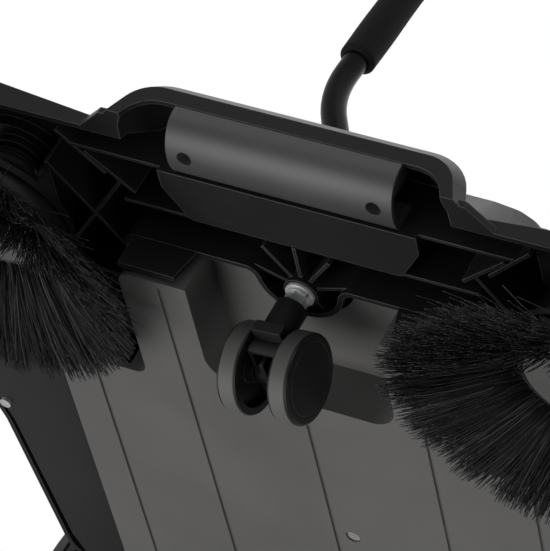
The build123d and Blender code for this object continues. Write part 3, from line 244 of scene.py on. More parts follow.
def ranged(tree, value, low, high, to_low=0.0, to_high=1.0):
    """A value carried from one range to another, held at its ends."""
    node = add_node(tree, "ShaderNodeMapRange", clamp=True)
    tree.links.new(value, node.inputs["Value"])
    node.inputs["From Min"].default_value = low
    node.inputs["From Max"].default_value = high
    node.inputs["To Min"].default_value = to_low
    node.inputs["To Max"].default_value = to_high
    return node.outputs["Result"]


def noise(tree, place, scale, detail=2.0, rough=0.5):
    """A noise value on the surface."""
    node = add_node(tree, "ShaderNodeTexNoise")
    tree.links.new(place, node.inputs["Vector"])
    node.inputs["Scale"].default_value = scale
    node.inputs["Detail"].default_value = detail
    node.inputs["Roughness"].default_value = rough
    return node.outputs["Fac"]


def multiply(tree, first, second):
    """Two values multiplied; the second may be a number."""
    node = add_node(tree, "ShaderNodeMath", operation="MULTIPLY")
    tree.links.new(first, node.inputs[0])
    if isinstance(second, (int, float)):
        node.inputs[1].default_value = second
    else:
        tree.links.new(second, node.inputs[1])
    return node.outputs[0]


def plus(tree, first, second):
    """Two values added."""
    node = add_node(tree, "ShaderNodeMath", operation="ADD")
    tree.links.new(first, node.inputs[0])
    tree.links.new(second, node.inputs[1])
    return node.outputs[0]


def make_mould_grain():
    """Fine spark-eroded texture of a moulded surface, with a slow mottle."""
    group, start, end = new_group(
        "Mould grain",
        (("Scale", "NodeSocketFloat", 900.0),),
        (("Height", "NodeSocketFloat"), ("Mottle", "NodeSocketFloat")),
    )
    place = place_of(group)
    fine = add_node(group, "ShaderNodeTexNoise")
    group.links.new(place, fine.inputs["Vector"])
    group.links.new(start.outputs["Scale"], fine.inputs["Scale"])
    fine.inputs["Detail"].default_value = 3.0
    group.links.new(fine.outputs["Fac"], end.inputs["Height"])
    group.links.new(noise(group, place, 14.0, 3.0), end.inputs["Mottle"])
    return group


def make_scuffs():
    """Long fine scratches and rubbed patches."""
    group, start, end = new_group(
        "Scuffs",
        (("Amount", "NodeSocketFloat", 0.5),),
        (("Mask", "NodeSocketFloat"), ("Height", "NodeSocketFloat")),
    )
    place = place_of(group)
    marks = None
    for turn, stretch in ((0.35, 260.0), (-0.8, 330.0), (1.3, 290.0)):
        mapping = add_node(group, "ShaderNodeMapping")
        group.links.new(place, mapping.inputs["Vector"])
        mapping.inputs["Rotation"].default_value = (0.25 * turn, 0.2, turn)
        mapping.inputs["Scale"].default_value = (6.0, stretch, stretch)
        lines = ranged(group, noise(group, mapping.outputs["Vector"], 1.0, 1.0), 0.70, 0.76)
        marks = lines if marks is None else plus(group, marks, lines)
    rubbed = ranged(group, noise(group, place, 19.0, 4.0, 0.6), 0.52, 0.70)
    mask = multiply(group, multiply(group, marks, rubbed), start.outputs["Amount"])
    group.links.new(mask, end.inputs["Mask"])
    group.links.new(multiply(group, mask, -1.0), end.inputs["Height"])
    return group


def make_dust():
    """Grey dust that gathers in patches and as specks."""
    group, start, end = new_group(
        "Dust",
        (("Amount", "NodeSocketFloat", 0.3),),
        (("Mask", "NodeSocketFloat"),),
    )
    place = place_of(group)
    film = ranged(group, noise(group, place, 9.0, 5.0, 0.6), 0.42, 0.78)
    specks = ranged(group, noise(group, place, 620.0, 0.0), 0.74, 0.80)
    spread = multiply(group, specks, ranged(group, noise(group, place, 24.0, 2.0), 0.45, 0.7))
    mask = multiply(group, plus(group, multiply(group, film, 0.5), spread), start.outputs["Amount"])
    group.links.new(mask, end.inputs["Mask"])
    return group


def make_foam_cells():
    """Open pores of a foam skin."""
    group, start, end = new_group(
        "Foam cells",
        (("Scale", "NodeSocketFloat", 1500.0),),
        (("Height", "NodeSocketFloat"), ("Pores", "NodeSocketFloat")),
    )
    place = place_of(group)
    cells = add_node(group, "ShaderNodeTexVoronoi", feature="F1")
    group.links.new(place, cells.inputs["Vector"])
    group.links.new(start.outputs["Scale"], cells.inputs["Scale"])
    group.links.new(cells.outputs["Distance"], end.inputs["Height"])
    group.links.new(ranged(group, cells.outputs["Distance"], 0.15, 0.5), end.inputs["Pores"])
    return group


def make_plating():
    """Drawn lines and stains of plated steel."""
    group, start, end = new_group(
        "Plating",
        (("Scale", "NodeSocketFloat", 1.0),),
        (("Lines", "NodeSocketFloat"), ("Stain", "NodeSocketFloat")),
    )
    place = place_of(group)
    mapping = add_node(group, "ShaderNodeMapping")
    group.links.new(place, mapping.inputs["Vector"])
    mapping.inputs["Scale"].default_value = (900.0, 900.0, 2600.0)
    lines = add_node(group, "ShaderNodeTexNoise")
    group.links.new(mapping.outputs["Vector"], lines.inputs["Vector"])
    group.links.new(start.outputs["Scale"], lines.inputs["Scale"])
    group.links.new(lines.outputs["Fac"], end.inputs["Lines"])
    group.links.new(ranged(group, noise(group, place, 180.0, 4.0), 0.4, 0.75), end.inputs["Stain"])
    return group


GROUPS = {}


def shared(name):
    """A shared node group, built the first time it is asked for."""
    makers = {
        "grain": make_mould_grain,
        "scuffs": make_scuffs,
        "dust": make_dust,
        "foam": make_foam_cells,
        "plating": make_plating,
    }
    if name not in GROUPS:
        GROUPS[name] = makers[name]()
    return GROUPS[name]


# Finishes


def use_group(tree, name, **values):
    """A shared group placed in a material with its own values."""
    node = add_node(tree, "ShaderNodeGroup")
    node.node_tree = shared(name)
    for key, value in values.items():
        node.inputs[key].default_value = value
    return node


def blend_colour(tree, mask, first, second):
    """A colour that goes from the first to the second by a mask; each is a colour or a socket."""
    node = add_node(tree, "ShaderNodeMix", data_type="RGBA")
    tree.links.new(mask, node.inputs[0])
    for socket, value in ((node.inputs[6], first), (node.inputs[7], second)):
        if isinstance(value, bpy.types.NodeSocket):
            tree.links.new(value, socket)
        else:
            socket.default_value = (*value, 1.0)
    return node.outputs[2]


def scaled(colour, factor):
    """A colour made lighter or darker."""
    return tuple(min(1.0, part * factor) for part in colour)


def new_material(name):
    """A material with only its Principled shader, and that shader."""
    material = bpy.data.materials.new(name)
    material.use_nodes = True
    return material, material.node_tree, material.node_tree.nodes["Principled BSDF"]


def bump(tree, shader, height, depth, distance, under=None):
    """Relief on a surface, over another normal if there is one."""
    node = add_node(tree, "ShaderNodeBump")
    node.inputs["Strength"].default_value = depth
    node.inputs["Distance"].default_value = distance
    tree.links.new(height, node.inputs["Height"])
    if under is not None:
        tree.links.new(under, node.inputs["Normal"])
    tree.links.new(node.outputs["Normal"], shader.inputs["Normal"])


def soft_edges(tree, radius):
    """A normal that rounds sharp edges by a small radius."""
    node = add_node(tree, "ShaderNodeBevel", samples=4)
    node.inputs["Radius"].default_value = radius
    return node.outputs["Normal"]


def edge_highlight_mask(tree, rounded):
    """Where a rounded normal leaves the flat one, so along the edges only; it places a painted edge
    highlight.
    """
    flat = add_node(tree, "ShaderNodeNewGeometry").outputs["Normal"]
    along = add_node(tree, "ShaderNodeVectorMath", operation="DOT_PRODUCT")
    tree.links.new(flat, along.inputs[0])
    tree.links.new(rounded, along.inputs[1])
    return ranged(tree, along.outputs["Value"], 0.995, 0.86)


DUST_COLOUR = (0.21, 0.20, 0.185)


def moulded(
    name, colour, rough, grain=0.12, scale=1100.0, scuff=0.4, dust=0.16, edge=0.0006, specular=0.5, painted_edge_highlight=0.0
):
    """Moulded plastic: fine grain, slow mottle, scratches, dust and softened edges, and where asked a painted
    highlight that lightens the edges.
    """
    colour = tuple(colour)
    material, tree, shader = new_material(name)
    skin = use_group(tree, "grain", Scale=scale)
    marks = use_group(tree, "scuffs", Amount=scuff)
    film = use_group(tree, "dust", Amount=dust)
    mottled = blend_colour(tree, skin.outputs["Mottle"], scaled(colour, 0.82), scaled(colour, 1.2))
    marked = blend_colour(tree, marks.outputs["Mask"], mottled, tuple(0.7 * c + 0.05 for c in colour))
    dusty = blend_colour(tree, film.outputs["Mask"], marked, DUST_COLOUR)
    rounded = soft_edges(tree, edge)
    # painted highlight: the edges' colour is lightened towards a pale grey, as where light catches a rounded
    # edge
    if painted_edge_highlight > 0.0:
        dusty = blend_colour(tree, edge_highlight_mask(tree, rounded), dusty, (painted_edge_highlight, painted_edge_highlight, painted_edge_highlight))
    tree.links.new(dusty, shader.inputs["Base Color"])
    base_rough = ranged(tree, skin.outputs["Mottle"], 0.2, 0.8, rough - 0.05, rough + 0.06)
    dusty_rough = plus(tree, base_rough, multiply(tree, film.outputs["Mask"], 0.25))
    tree.links.new(dusty_rough, shader.inputs["Roughness"])
    shader.inputs["Specular IOR Level"].default_value = specular
    relief = plus(tree, skin.outputs["Height"], multiply(tree, marks.outputs["Height"], 0.6))
    bump(tree, shader, relief, grain, 0.0002, rounded)
    return material


def rubber(name, colour, rough=0.72, scuff=0.5, dust=0.3):
    """Matt rubber with dust in it."""
    return moulded(
        name, colour, rough, grain=0.2, scale=700.0, scuff=scuff, dust=dust, edge=0.0005, specular=0.35
    )


def plated(name, colour, rough=0.3, metal=0.8):
    """Plated or ground steel; a lower metal share gives a paler, duller plating."""
    colour = tuple(colour)
    material, tree, shader = new_material(name)
    coat = use_group(tree, "plating")
    tone = blend_colour(tree, coat.outputs["Stain"], colour, scaled(colour, 0.72))
    tree.links.new(tone, shader.inputs["Base Color"])
    lined = ranged(tree, coat.outputs["Lines"], 0.3, 0.7, rough - 0.06, rough + 0.1)
    tree.links.new(lined, shader.inputs["Roughness"])
    shader.inputs["Metallic"].default_value = metal
    bump(tree, shader, coat.outputs["Lines"], 0.15, 0.0001, soft_edges(tree, 0.0003))
    return material


def coated_tube(name, colour):
    """Powder-coated tube with a faint orange peel."""
    colour = tuple(colour)
    material, tree, shader = new_material(name)
    skin = use_group(tree, "grain", Scale=420.0)
    marks = use_group(tree, "scuffs", Amount=0.35)
    tone = blend_colour(tree, skin.outputs["Mottle"], scaled(colour, 0.85), scaled(colour, 1.2))
    scratched = blend_colour(tree, marks.outputs["Mask"], tone, (0.06, 0.06, 0.06))
    tree.links.new(scratched, shader.inputs["Base Color"])
    tree.links.new(ranged(tree, skin.outputs["Mottle"], 0.2, 0.8, 0.26, 0.36), shader.inputs["Roughness"])
    shader.inputs["Specular IOR Level"].default_value = 0.04
    bump(tree, shader, skin.outputs["Height"], 0.1, 0.0002)
    return material


def foam_skin(name, colour):
    """Closed-cell foam: porous, matt, a little sheen."""
    colour = tuple(colour)
    material, tree, shader = new_material(name)
    cells = use_group(tree, "foam", Scale=1300.0)
    film = use_group(tree, "dust", Amount=0.03)
    tone = blend_colour(tree, cells.outputs["Pores"], scaled(colour, 0.6), scaled(colour, 1.25))
    dusty = blend_colour(tree, film.outputs["Mask"], tone, DUST_COLOUR)
    tree.links.new(dusty, shader.inputs["Base Color"])
    tree.links.new(ranged(tree, cells.outputs["Pores"], 0.0, 1.0, 0.95, 0.8), shader.inputs["Roughness"])
    shader.inputs["Specular IOR Level"].default_value = 0.1
    shader.inputs["Sheen Weight"].default_value = 0.01
    bump(tree, shader, cells.outputs["Height"], 0.5, 0.0004)
    return material


def filament(name, colour):
    """Extruded brush filament: lighter or darker by its shade, the paler ones partly a painted highlight for
    lit filaments and the cut ends a painted highlight; glossy along its length.
    """
    colour = tuple(colour)
    material, tree, shader = new_material(name)
    shade = add_node(tree, "ShaderNodeAttribute", attribute_name="strand_shade")
    # the colour follows the shade: paler filaments and cut ends are painted highlight
    tone = blend_colour(tree, shade.outputs["Fac"], scaled(colour, 0.15), scaled(colour, 9.0))
    film = use_group(tree, "dust", Amount=0.03)
    dusty = blend_colour(tree, film.outputs["Mask"], tone, DUST_COLOUR)
    tree.links.new(dusty, shader.inputs["Base Color"])
    tree.links.new(ranged(tree, shade.outputs["Fac"], 0.0, 1.0, 0.5, 0.34), shader.inputs["Roughness"])
    shader.inputs["Specular IOR Level"].default_value = 0.2
    return material


def dress(nodes, material):
    """Puts a finish on CAD nodes, whose shapes stay as they are."""
    for name in nodes:
        mesh = frame["nodes"][name].data
        mesh.materials.clear()
        mesh.materials.append(material)


def both(*stems):
    """Node names of pieces that come as a left and a right."""
    return [stem + "_" + side for stem in stems for side in SIDES]


def show(obj):
    """Links a new object into the scene."""
    bpy.context.scene.collection.objects.link(obj)
    return obj


def shade_smooth(mesh):
    """Smooth shading on every face."""
    for face in mesh.polygons:
        face.use_smooth = True


# Operators, one for each piece or group of like pieces


class SWEEPER_OT_stage(bpy.types.Operator):
    """Camera, floor, lamps and white background"""

    bl_idname = "sweeper.stage"
    bl_label = "Stage"

    # half the floor's width, and the distances from the middle between which it fades out
    FLOOR_HALF = 60.0
    FLOOR_FADE = (0.7, 2.4)
    # what the lamps point at, and each one's size and place
    TARGET = (0.0, -0.15, 0.08)
    LAMPS = {
        "key": (1.6, (-1.0, -2.3, 0.75)),
        "under": (2.0, (-1.0, -0.40, -2.07)),
        "side": (1.6, (1.7, -0.1, -1.7)),
        "top": (5.0, (0.5, 0.4, 2.6)),
    }

    def execute(self, context):
        self.make_camera(context)
        self.make_floor(context)
        self.make_lamps(context)
        self.make_world(context)
        context.scene.view_settings.view_transform = "Standard"
        return {"FINISHED"}

    def make_camera(self, context):
        """The camera, turned by its three angles and set at its place."""
        seen = context.scene.sweeper_camera
        data = bpy.data.cameras.new("camera")
        data.lens = seen.lens
        data.clip_end = 200.0
        camera = show(bpy.data.objects.new("camera", data))
        across = math.cos(seen.elevation)
        back = Vector(
            (math.sin(seen.azimuth) * across, -math.cos(seen.azimuth) * across, math.sin(seen.elevation))
        )
        level = (-back).cross(Vector((0, 0, 1))).normalized()
        rise = level.cross(-back)
        right = math.cos(seen.roll) * level + math.sin(seen.roll) * rise
        up = -math.sin(seen.roll) * level + math.cos(seen.roll) * rise
        turn = Matrix((right, up, back)).transposed()
        camera.matrix_world = Matrix.Translation(Vector(seen.eye)) @ turn.to_4x4()
        context.scene.camera = camera

    def make_floor(self, context):
        """A floor that fades into the white round it and shows from above only."""
        mesh = bpy.data.meshes.new("floor")
        half = self.FLOOR_HALF
        low = CAD_LOW.z
        corners = [(-half, -half, low), (half, -half, low), (half, half, low), (-half, half, low)]
        mesh.from_pydata(corners, [], [(0, 1, 2, 3)])
        floor = show(bpy.data.objects.new("floor", mesh))
        floor.visible_shadow = False
        material, tree, shader = new_material("floor")
        place = place_of(tree)
        pale = tuple(context.scene.sweeper_light.floor_colour)
        tone = blend_colour(tree, noise(tree, place, 6.0, 3.0), scaled(pale, 0.985), scaled(pale, 1.015))
        tree.links.new(tone, shader.inputs["Base Color"])
        shader.inputs["Roughness"].default_value = 0.85
        shader.inputs["Specular IOR Level"].default_value = 0.1
        behind = add_node(tree, "ShaderNodeNewGeometry").outputs["Backfacing"]
        distance = add_node(tree, "ShaderNodeVectorMath", operation="LENGTH")
        tree.links.new(place, distance.inputs[0])
        hidden = add_node(tree, "ShaderNodeMath", operation="MAXIMUM")
        tree.links.new(behind, hidden.inputs[0])
        tree.links.new(ranged(tree, distance.outputs["Value"], *self.FLOOR_FADE), hidden.inputs[1])
        clear = add_node(tree, "ShaderNodeBsdfTransparent")
        choose = add_node(tree, "ShaderNodeMixShader")
        tree.links.new(hidden.outputs[0], choose.inputs[0])
        tree.links.new(shader.outputs["BSDF"], choose.inputs[1])
        tree.links.new(clear.outputs["BSDF"], choose.inputs[2])
        tree.links.new(choose.outputs["Shader"], tree.nodes["Material Output"].inputs["Surface"])
        mesh.materials.append(material)

    def make_lamps(self, context):
        """Soft lamps that the camera doesn't see."""
        levels = context.scene.sweeper_light
        for name, (size, place) in self.LAMPS.items():
            data = bpy.data.lights.new(name, "AREA")
            data.energy = getattr(levels, name)
            data.size = size
            lamp = show(bpy.data.objects.new(name, data))
            lamp.location = place
            lamp.rotation_euler = (Vector(place) - Vector(self.TARGET)).to_track_quat("Z", "Y").to_euler()
            lamp.visible_camera = False

    def make_world(self, context):
        """A white background, and a faint even light on matt surfaces."""
        world = bpy.data.worlds.new("studio")
        context.scene.world = world
        world.use_nodes = True
        tree = world.node_tree
        paths = add_node(tree, "ShaderNodeLightPath")
        seen = plus(tree, paths.outputs["Is Camera Ray"], paths.outputs["Is Transmission Ray"])
        white = add_node(tree, "ShaderNodeMath", operation="ADD", use_clamp=True)
        tree.links.new(seen, white.inputs[0])
        tree.links.new(paths.outputs["Is Glossy Ray"], white.inputs[1])
        strength = ranged(tree, white.outputs[0], 0.0, 1.0, context.scene.sweeper_light.ambient, 1.0)
        background = tree.nodes["Background"]
        background.inputs["Color"].default_value = (1.0, 1.0, 1.0, 1.0)
        tree.links.new(strength, background.inputs["Strength"])


class SWEEPER_OT_mouldings(bpy.types.Operator):
    """Finishes of the black chassis, carry grip, covers, lid and bail"""

    bl_idname = "sweeper.mouldings"
    bl_label = "Mouldings"

    def execute(self, context):
        colours = context.scene.sweeper_colours
        # the housing's edges are lightened: painted highlight
        shell = moulded(
            "housing_black", colours.housing, 0.45,
            grain=0.14, scale=1300.0, scuff=0.3, dust=0.02, edge=0.0007, specular=0.14, painted_edge_highlight=0.13,
        )
        # the grip's lighter black stands in for its highlight: painted highlight
        grip = moulded(
            "grip_black", colours.grip, 0.38, grain=0.04, scale=1600.0, scuff=0.15, dust=0.02, edge=0.0009
        )
        cover = moulded("cover_black", colours.housing, 0.50, grain=0.14, scuff=0.5, dust=0.03, specular=0.25)
        lid = moulded("lid_black", colours.housing, 0.44, grain=0.18, scale=1500.0, dust=0.04, specular=0.3)
        dress(["housing"] + both("front_guard"), shell)
        dress(["carry_grip"], grip)
        dress(both("drive_cover"), cover)
        dress(["hopper_lid", "hopper_bail"], lid)
        return {"FINISHED"}


class SWEEPER_OT_hopper(bpy.types.Operator):
    """Finish of the grey dirt tub"""

    bl_idname = "sweeper.hopper"
    bl_label = "Hopper"

    def execute(self, context):
        colour = context.scene.sweeper_colours.hopper
        grey = moulded(
            "hopper_grey", colour, 0.50,
            grain=0.10, scale=1200.0, scuff=0.7, dust=0.12, edge=0.0007, specular=0.35,
        )
        dress(["hopper_tub"], grey)
        return {"FINISHED"}


class SWEEPER_OT_castor(bpy.types.Operator):
    """Finishes of the castor's fork, wheel cores and treads"""

    bl_idname = "sweeper.castor"
    bl_label = "Castor"

    def execute(self, context):
        colours = context.scene.sweeper_colours
        # the castor's edges are lightened a little: painted highlight
        black = moulded(
            "castor_black", colours.castor, 0.36,
            grain=0.04, scale=1500.0, scuff=0.3, dust=0.03, edge=0.0008, specular=0.3, painted_edge_highlight=0.04,
        )
        dress(["castor_fork"] + both("castor_wheel"), black)
        dress(both("castor_tread"), rubber("castor_tread", colours.tread, 0.6, scuff=0.6, dust=0.08))
        return {"FINISHED"}


class SWEEPER_OT_brushes(bpy.types.Operator):
    """Brush filaments in tufts, and finishes of the hubs, plates and drive pieces"""

    bl_idname = "sweeper.brushes"
    bl_label = "Brushes"

    # each ring's root and tip radius, its tufts, and how much less far the steepest of them reach
    RINGS = ((0.0392, 0.1000, 36, 0.050), (0.0416, 0.1040, 40, 0.036), (0.0440, 0.1072, 44, 0.012))
    # where round each brush its tufts stand steepest, how soon that fades, and its least and full share
    NEAR = {"left": (-0.75, 3.0, 1.0, 1.3), "right": (-math.pi / 2, 1.0, 0.0, 1.0)}
    # the tufts' roots: their height, the least radius, and how far they spread outward and round
    ROOT_HEIGHT = 0.0318
    ROOT_LEAST = 0.0379
    TUFT_SPREAD = (0.0014, 0.0016)
    # how unevenly the tufts stand round the ring, and how far each leans round it
    TUFT_JITTER = 0.12
    TUFT_LEAN = 0.035
    # how far the tips turn round the brush, in a tuft and when they stray from it
    TIP_TURN = 0.022
    STRAY_TURN = 0.13
    # mean and spread of the tips' height and of the sag, and how much higher a stray tip may end
    TIP_LIFT = (0.0035, 0.0035)
    SAG = (0.0015, 0.0015)
    STRAY_LIFT = 0.012
    # least heights over the brush's own floor, at the tip and on the way there
    TIP_LEAST = 0.0004
    COURSE_LEAST = 0.0003
    # places along a filament, its corners, its range of thickness and how much thinner it ends
    SHARES = (0.0, 0.25, 0.5, 0.75, 0.975, 1.0)
    CORNERS = 3
    THICKNESS = (0.75, 1.15)
    TAPER = 0.4
    # shades of the paler filaments, partly a painted highlight standing for lit ones, the most of the dark
    # ones, and the least of a cut end, which is a painted highlight
    PALE_AND_PAINTED_LIT_SHADES = (0.4, 1.0)
    DARK_SHADE = 0.22
    TIP_PAINTED_HIGHLIGHT = 0.7
    # a direction that no filament takes, to lay its corners out from
    ASIDE = (0.3, 0.2, 0.9)
    # outline of the ring that holds the tufts, as radius and height, its steps round and its shade
    PLATE = (
        (0.0376, 0.0310), (0.0470, 0.0310), (0.0475, 0.0315),
        (0.0475, 0.0396), (0.0471, 0.0400), (0.0376, 0.0400),
    )
    PLATE_STEPS = 72
    PLATE_SHADE = 0.3

    def execute(self, context):
        colours = context.scene.sweeper_colours
        black = filament("bristle", colours.bristle)
        for side in SIDES:
            self.make_filaments(context, side, black)
        hub = moulded("hub_grey", colours.hub, 0.48, grain=0.08, scale=1300.0, scuff=0.5, dust=0.25)
        plate = moulded(
            "brush_plate", colours.housing, 0.55, scale=1000.0, scuff=0.3, dust=0.03, specular=0.12
        )
        pulley = moulded("pulley", colours.housing, 0.5, grain=0.08, scale=1200.0, scuff=0.5, dust=0.2)
        dress(both("brush_hub"), hub)
        dress(both("brush_backing"), plate)
        dress(both("brush_pulley", "drive_pulley"), pulley)
        dress(both("drive_belt"), rubber("belt", colours.tyre))
        return {"FINISHED"}

    def make_filaments(self, context, side, material):
        """One brush's filaments with the ring they stand in, as one piece that spins with the brush."""
        form = context.scene.sweeper_bristles
        draw = random.Random(form.seed + SIDES.index(side))
        joint = JOINTS["brush_" + side + "_spin"]
        axis = Vector(joint["axis"]).normalized()
        along = Vector((1.0, 0.0, 0.0))
        across = axis.cross(along).normalized()
        centre = Vector(joint["pos_m"])
        mesh = bpy.data.meshes.new("filaments_" + side)
        points, faces, shades = [], [], []

        def place(radius, angle, height):
            """A point from its radius, angle and height on the brush."""
            flat = along * (radius * math.cos(angle)) + across * (radius * math.sin(angle))
            return centre + flat + axis * height

        self.add_plate(place, points, faces, shades)
        for root, tip, tufts, steep in self.RINGS:
            for tuft in range(tufts):
                middle = 2 * math.pi * (tuft + draw.uniform(-self.TUFT_JITTER, self.TUFT_JITTER)) / tufts
                lean = draw.gauss(0.0, self.TUFT_LEAN)
                for _ in range(form.per_tuft):
                    course = self.strand_course(form, draw, (root, tip, steep), self.NEAR[side], middle, lean)
                    path = [place(*step) for step in course]
                    self.add_strand(form, draw, path, points, faces, shades)
        mesh.from_pydata(points, [], faces)
        shade = mesh.attributes.new("strand_shade", "FLOAT", "POINT")
        shade.data.foreach_set("value", shades)
        shade_smooth(mesh)
        mesh.materials.append(material)
        brush = show(bpy.data.objects.new("filaments_" + side, mesh))
        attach(brush, "brush_" + side)
        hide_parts("brush_bristles_" + side)

    def add_plate(self, place, points, faces, shades):
        """The ring that holds the tufts, turned from its outline."""
        steps = self.PLATE_STEPS
        start = len(points)
        count = len(self.PLATE)
        for step in range(steps):
            angle = 2 * math.pi * step / steps
            for radius, height in self.PLATE:
                points.append(place(radius, angle, height))
                shades.append(self.PLATE_SHADE)
        for step in range(steps):
            here = start + step * count
            there = start + ((step + 1) % steps) * count
            for corner in range(count):
                following = (corner + 1) % count
                faces.append((here + corner, there + corner, there + following, here + following))

    def strand_course(self, form, draw, ring, near, middle, lean):
        """Radius, angle and height of one filament at each share of its length; it bends a little."""
        root, tip, steep = ring
        direction, fade, least, full = near
        outward, sideways = self.TUFT_SPREAD
        spread = max(self.ROOT_LEAST - root, draw.gauss(0.0, outward))
        turn = middle + draw.gauss(0.0, sideways) / root
        stray = draw.random() < form.stray
        front = max(0.0, math.cos(turn - direction)) ** fade
        reach = tip - abs(draw.gauss(0.0, form.ragged * 0.45)) - front * steep * draw.uniform(least, full)
        end_turn = turn + lean + draw.gauss(0.0, self.STRAY_TURN if stray else self.TIP_TURN)
        lifted = draw.gauss(*self.TIP_LIFT) + (draw.uniform(0.0, self.STRAY_LIFT) if stray else 0.0)
        end_height = max(self.TIP_LEAST, lifted)
        sag = draw.gauss(*self.SAG)
        course = []
        for share in self.SHARES:
            radius = (root + spread) * (1 - share) + reach * share
            angle = turn * (1 - share) + end_turn * share + 0.3 * (end_turn - turn) * (share * share - share)
            height = self.ROOT_HEIGHT * (1 - share) + end_height * share
            height -= 4 * sag * share * (1 - share)
            course.append((min(radius, form.reach), angle, max(height, self.COURSE_LEAST)))
        return course

    def add_strand(self, form, draw, path, points, faces, shades):
        """One thin three-sided filament along its path, with its own shade and thickness."""
        start = len(points)
        steps = len(path) - 1
        corners = self.CORNERS
        # a share of filaments is drawn paler, partly as painted highlight for lit ones
        pale = draw.random() < form.light
        shade = draw.uniform(*self.PALE_AND_PAINTED_LIT_SHADES) if pale else self.DARK_SHADE * draw.random()
        thick = form.radius * draw.uniform(*self.THICKNESS)
        for step in range(steps + 1):
            ahead = (path[min(step + 1, steps)] - path[max(step - 1, 0)]).normalized()
            first = ahead.cross(Vector(self.ASIDE)).normalized()
            second = ahead.cross(first)
            slim = thick * (1.0 - self.TAPER * self.SHARES[step])
            for corner in range(corners):
                angle = 2 * math.pi * corner / corners
                off = first * (slim * math.cos(angle)) + second * (slim * math.sin(angle))
                points.append(path[step] + off)
                # the cut end gets at least a light shade: painted highlight
                shades.append(max(shade, self.TIP_PAINTED_HIGHLIGHT) if step == steps else shade)
        for step in range(steps):
            low = start + corners * step
            high = low + corners
            for corner in range(corners):
                following = (corner + 1) % corners
                faces.append((low + corner, low + following, high + following, high + corner))
        last = start + corners * steps
        faces.append((start, start + 2, start + 1))
        faces.append((last, last + 1, last + 2))


class SWEEPER_OT_wheels(bpy.types.Operator):
    """Finishes of the drive wheels"""

    bl_idname = "sweeper.wheels"
    bl_label = "Drive wheels"

    def execute(self, context):
        colours = context.scene.sweeper_colours
        rim = moulded("rim", scaled(colours.housing, 1.5), 0.42, grain=0.08, scale=1200.0, dust=0.12)
        dress(both("wheel_tyre"), rubber("tyre", colours.tyre, 0.7, scuff=0.6))
        dress(both("wheel_rim", "wheel_cap"), rim)
        return {"FINISHED"}


class SWEEPER_OT_hardware(bpy.types.Operator):
    """Finishes of the plated, ground and bronze hardware"""

    bl_idname = "sweeper.hardware"
    bl_label = "Hardware"

    def execute(self, context):
        colours = context.scene.sweeper_colours
        zinc = ["grip_screws", "castor_stem", "castor_axle", "hopper_screw"]
        zinc += both("brush_screw", "cover_screws", "hinge_bolt")
        dress(zinc, plated("zinc", colours.zinc, 0.28))
        dress(["castor_nut", "spring_washer"], plated("bright_zinc", colours.zinc, 0.18, metal=0.45))
        dress(both("brush_shaft", "wheel_axle"), plated("steel", scaled(colours.zinc, 0.8), 0.34))
        dress(both("brush_bush", "axle_bushes"), plated("bush", colours.bronze, 0.42))
        return {"FINISHED"}


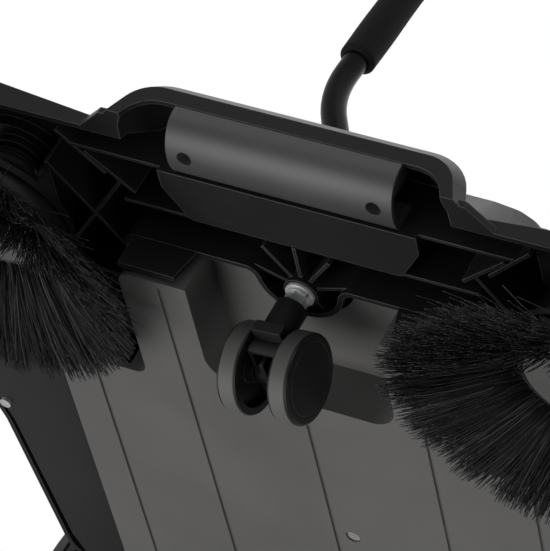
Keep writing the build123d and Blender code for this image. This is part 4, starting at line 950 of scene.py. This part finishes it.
class SWEEPER_OT_push_handle(bpy.types.Operator):
    """Foam sleeves and finishes of the push handle"""

    bl_idname = "sweeper.push_handle"
    bl_label = "Push handle"

    # steps round a sleeve and along it, its rounded ends and how far its skin stays inside the CAD sleeve
    AROUND = 40
    STEPS = 120
    END_ROUND = 0.003
    INSET = 0.0005
    # the bore's edges, set back from the ends
    BORE_BACK = 0.0006
    # waves along the skin, the range of their heights, and how much the skin swells round the sleeve
    WAVES = 5
    WAVE_HEIGHTS = (0.00005, 0.00014)
    SWELL = 0.006
    SEED = 5

    def execute(self, context):
        colours = context.scene.sweeper_colours
        dress(["handle_tube"], coated_tube("tube_black", colours.tube))
        knob = moulded("knob_black", colours.housing, 0.42, grain=0.1, scale=1300.0, dust=0.04, specular=0.3)
        dress(both("handle_end", "clamp_knob"), knob)
        skin = foam_skin("foam", colours.foam)
        for side, way in zip(SIDES, (-1, 1)):
            self.make_sleeve(context, side, way, skin)
        return {"FINISHED"}

    def make_sleeve(self, context, side, way, material):
        """A foam sleeve: rounded ends, a slightly uneven skin and faint pull rings."""
        form = context.scene.sweeper_foam
        hinge = Vector(JOINTS["handle_fold"]["pos_m"])
        up = Vector((0.0, math.sin(form.lean), math.cos(form.lean)))
        out = Vector((1.0, 0.0, 0.0))
        other = up.cross(out)
        low = hinge + out * (way * form.spread) + up * form.start
        draw = random.Random(self.SEED + way)
        around = self.AROUND
        waves = [
            (draw.uniform(20, 90), draw.uniform(0, 6.28), draw.uniform(*self.WAVE_HEIGHTS))
            for _ in range(self.WAVES)
        ]
        outline = [(form.bore, self.BORE_BACK)]
        for step in range(self.STEPS + 1):
            along = form.length * step / self.STEPS
            to_end = min(along, form.length - along)
            inside = max(0.0, self.END_ROUND - to_end)
            drop = self.END_ROUND - math.sqrt(max(0.0, self.END_ROUND ** 2 - inside ** 2))
            uneven = sum(size * math.sin(rate * along + phase) for rate, phase, size in waves)
            outline.append((form.radius - self.INSET - drop + uneven, along))
        outline.append((form.bore, form.length - self.BORE_BACK))
        points, faces = [], []
        for step in range(around):
            angle = 2 * math.pi * step / around
            for radius, along in outline:
                puff = 1.0 + self.SWELL * math.sin(3 * angle + 40 * along) if radius > form.bore else 1.0
                flat = out * math.cos(angle) + other * math.sin(angle)
                points.append(low + flat * (radius * puff) + up * along)
        count = len(outline)
        for step in range(around):
            here, there = step * count, ((step + 1) % around) * count
            for rung in range(count):
                following = (rung + 1) % count
                faces.append((here + rung, there + rung, there + following, here + following))
        mesh = bpy.data.meshes.new("foam_sleeve_" + side)
        mesh.from_pydata(points, [], faces)
        shade_smooth(mesh)
        mesh.materials.append(material)
        sleeve = show(bpy.data.objects.new("foam_sleeve_" + side, mesh))
        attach(sleeve, "handle")
        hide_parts("foam_grip_" + side)


OPERATORS = (
    SWEEPER_OT_stage,
    SWEEPER_OT_mouldings,
    SWEEPER_OT_hopper,
    SWEEPER_OT_castor,
    SWEEPER_OT_brushes,
    SWEEPER_OT_wheels,
    SWEEPER_OT_hardware,
    SWEEPER_OT_push_handle,
)
PROPERTIES = (
    ("sweeper_camera", SweeperCamera),
    ("sweeper_light", SweeperLight),
    ("sweeper_colours", SweeperColours),
    ("sweeper_bristles", SweeperBristles),
    ("sweeper_foam", SweeperFoam),
)


class SWEEPER_PT_panel(bpy.types.Panel):
    """Lists the sweeper's operators and values"""

    bl_idname = "SWEEPER_PT_panel"
    bl_label = "Push sweeper"
    bl_space_type = "VIEW_3D"
    bl_region_type = "UI"
    bl_category = "Sweeper"

    def draw(self, context):
        for operator in OPERATORS:
            self.layout.operator(operator.bl_idname)
        for name, group in PROPERTIES:
            box = self.layout.box()
            for key in group.__annotations__:
                box.prop(getattr(context.scene, name), key)


def register():
    """Makes the values, operators and panel known."""
    for name, group in PROPERTIES:
        bpy.utils.register_class(group)
        setattr(bpy.types.Scene, name, bpy.props.PointerProperty(type=group))
    for operator in OPERATORS:
        bpy.utils.register_class(operator)
    bpy.utils.register_class(SWEEPER_PT_panel)


def unregister():
    """Takes them out again."""
    bpy.utils.unregister_class(SWEEPER_PT_panel)
    for operator in reversed(OPERATORS):
        bpy.utils.unregister_class(operator)
    for name, group in reversed(PROPERTIES):
        delattr(bpy.types.Scene, name)
        bpy.utils.unregister_class(group)


def main():
    """Runs every operator once."""
    register()
    for operator in OPERATORS:
        group, name = operator.bl_idname.split(".")
        getattr(getattr(bpy.ops, group), name)()


if __name__ == "__main__":
    main()
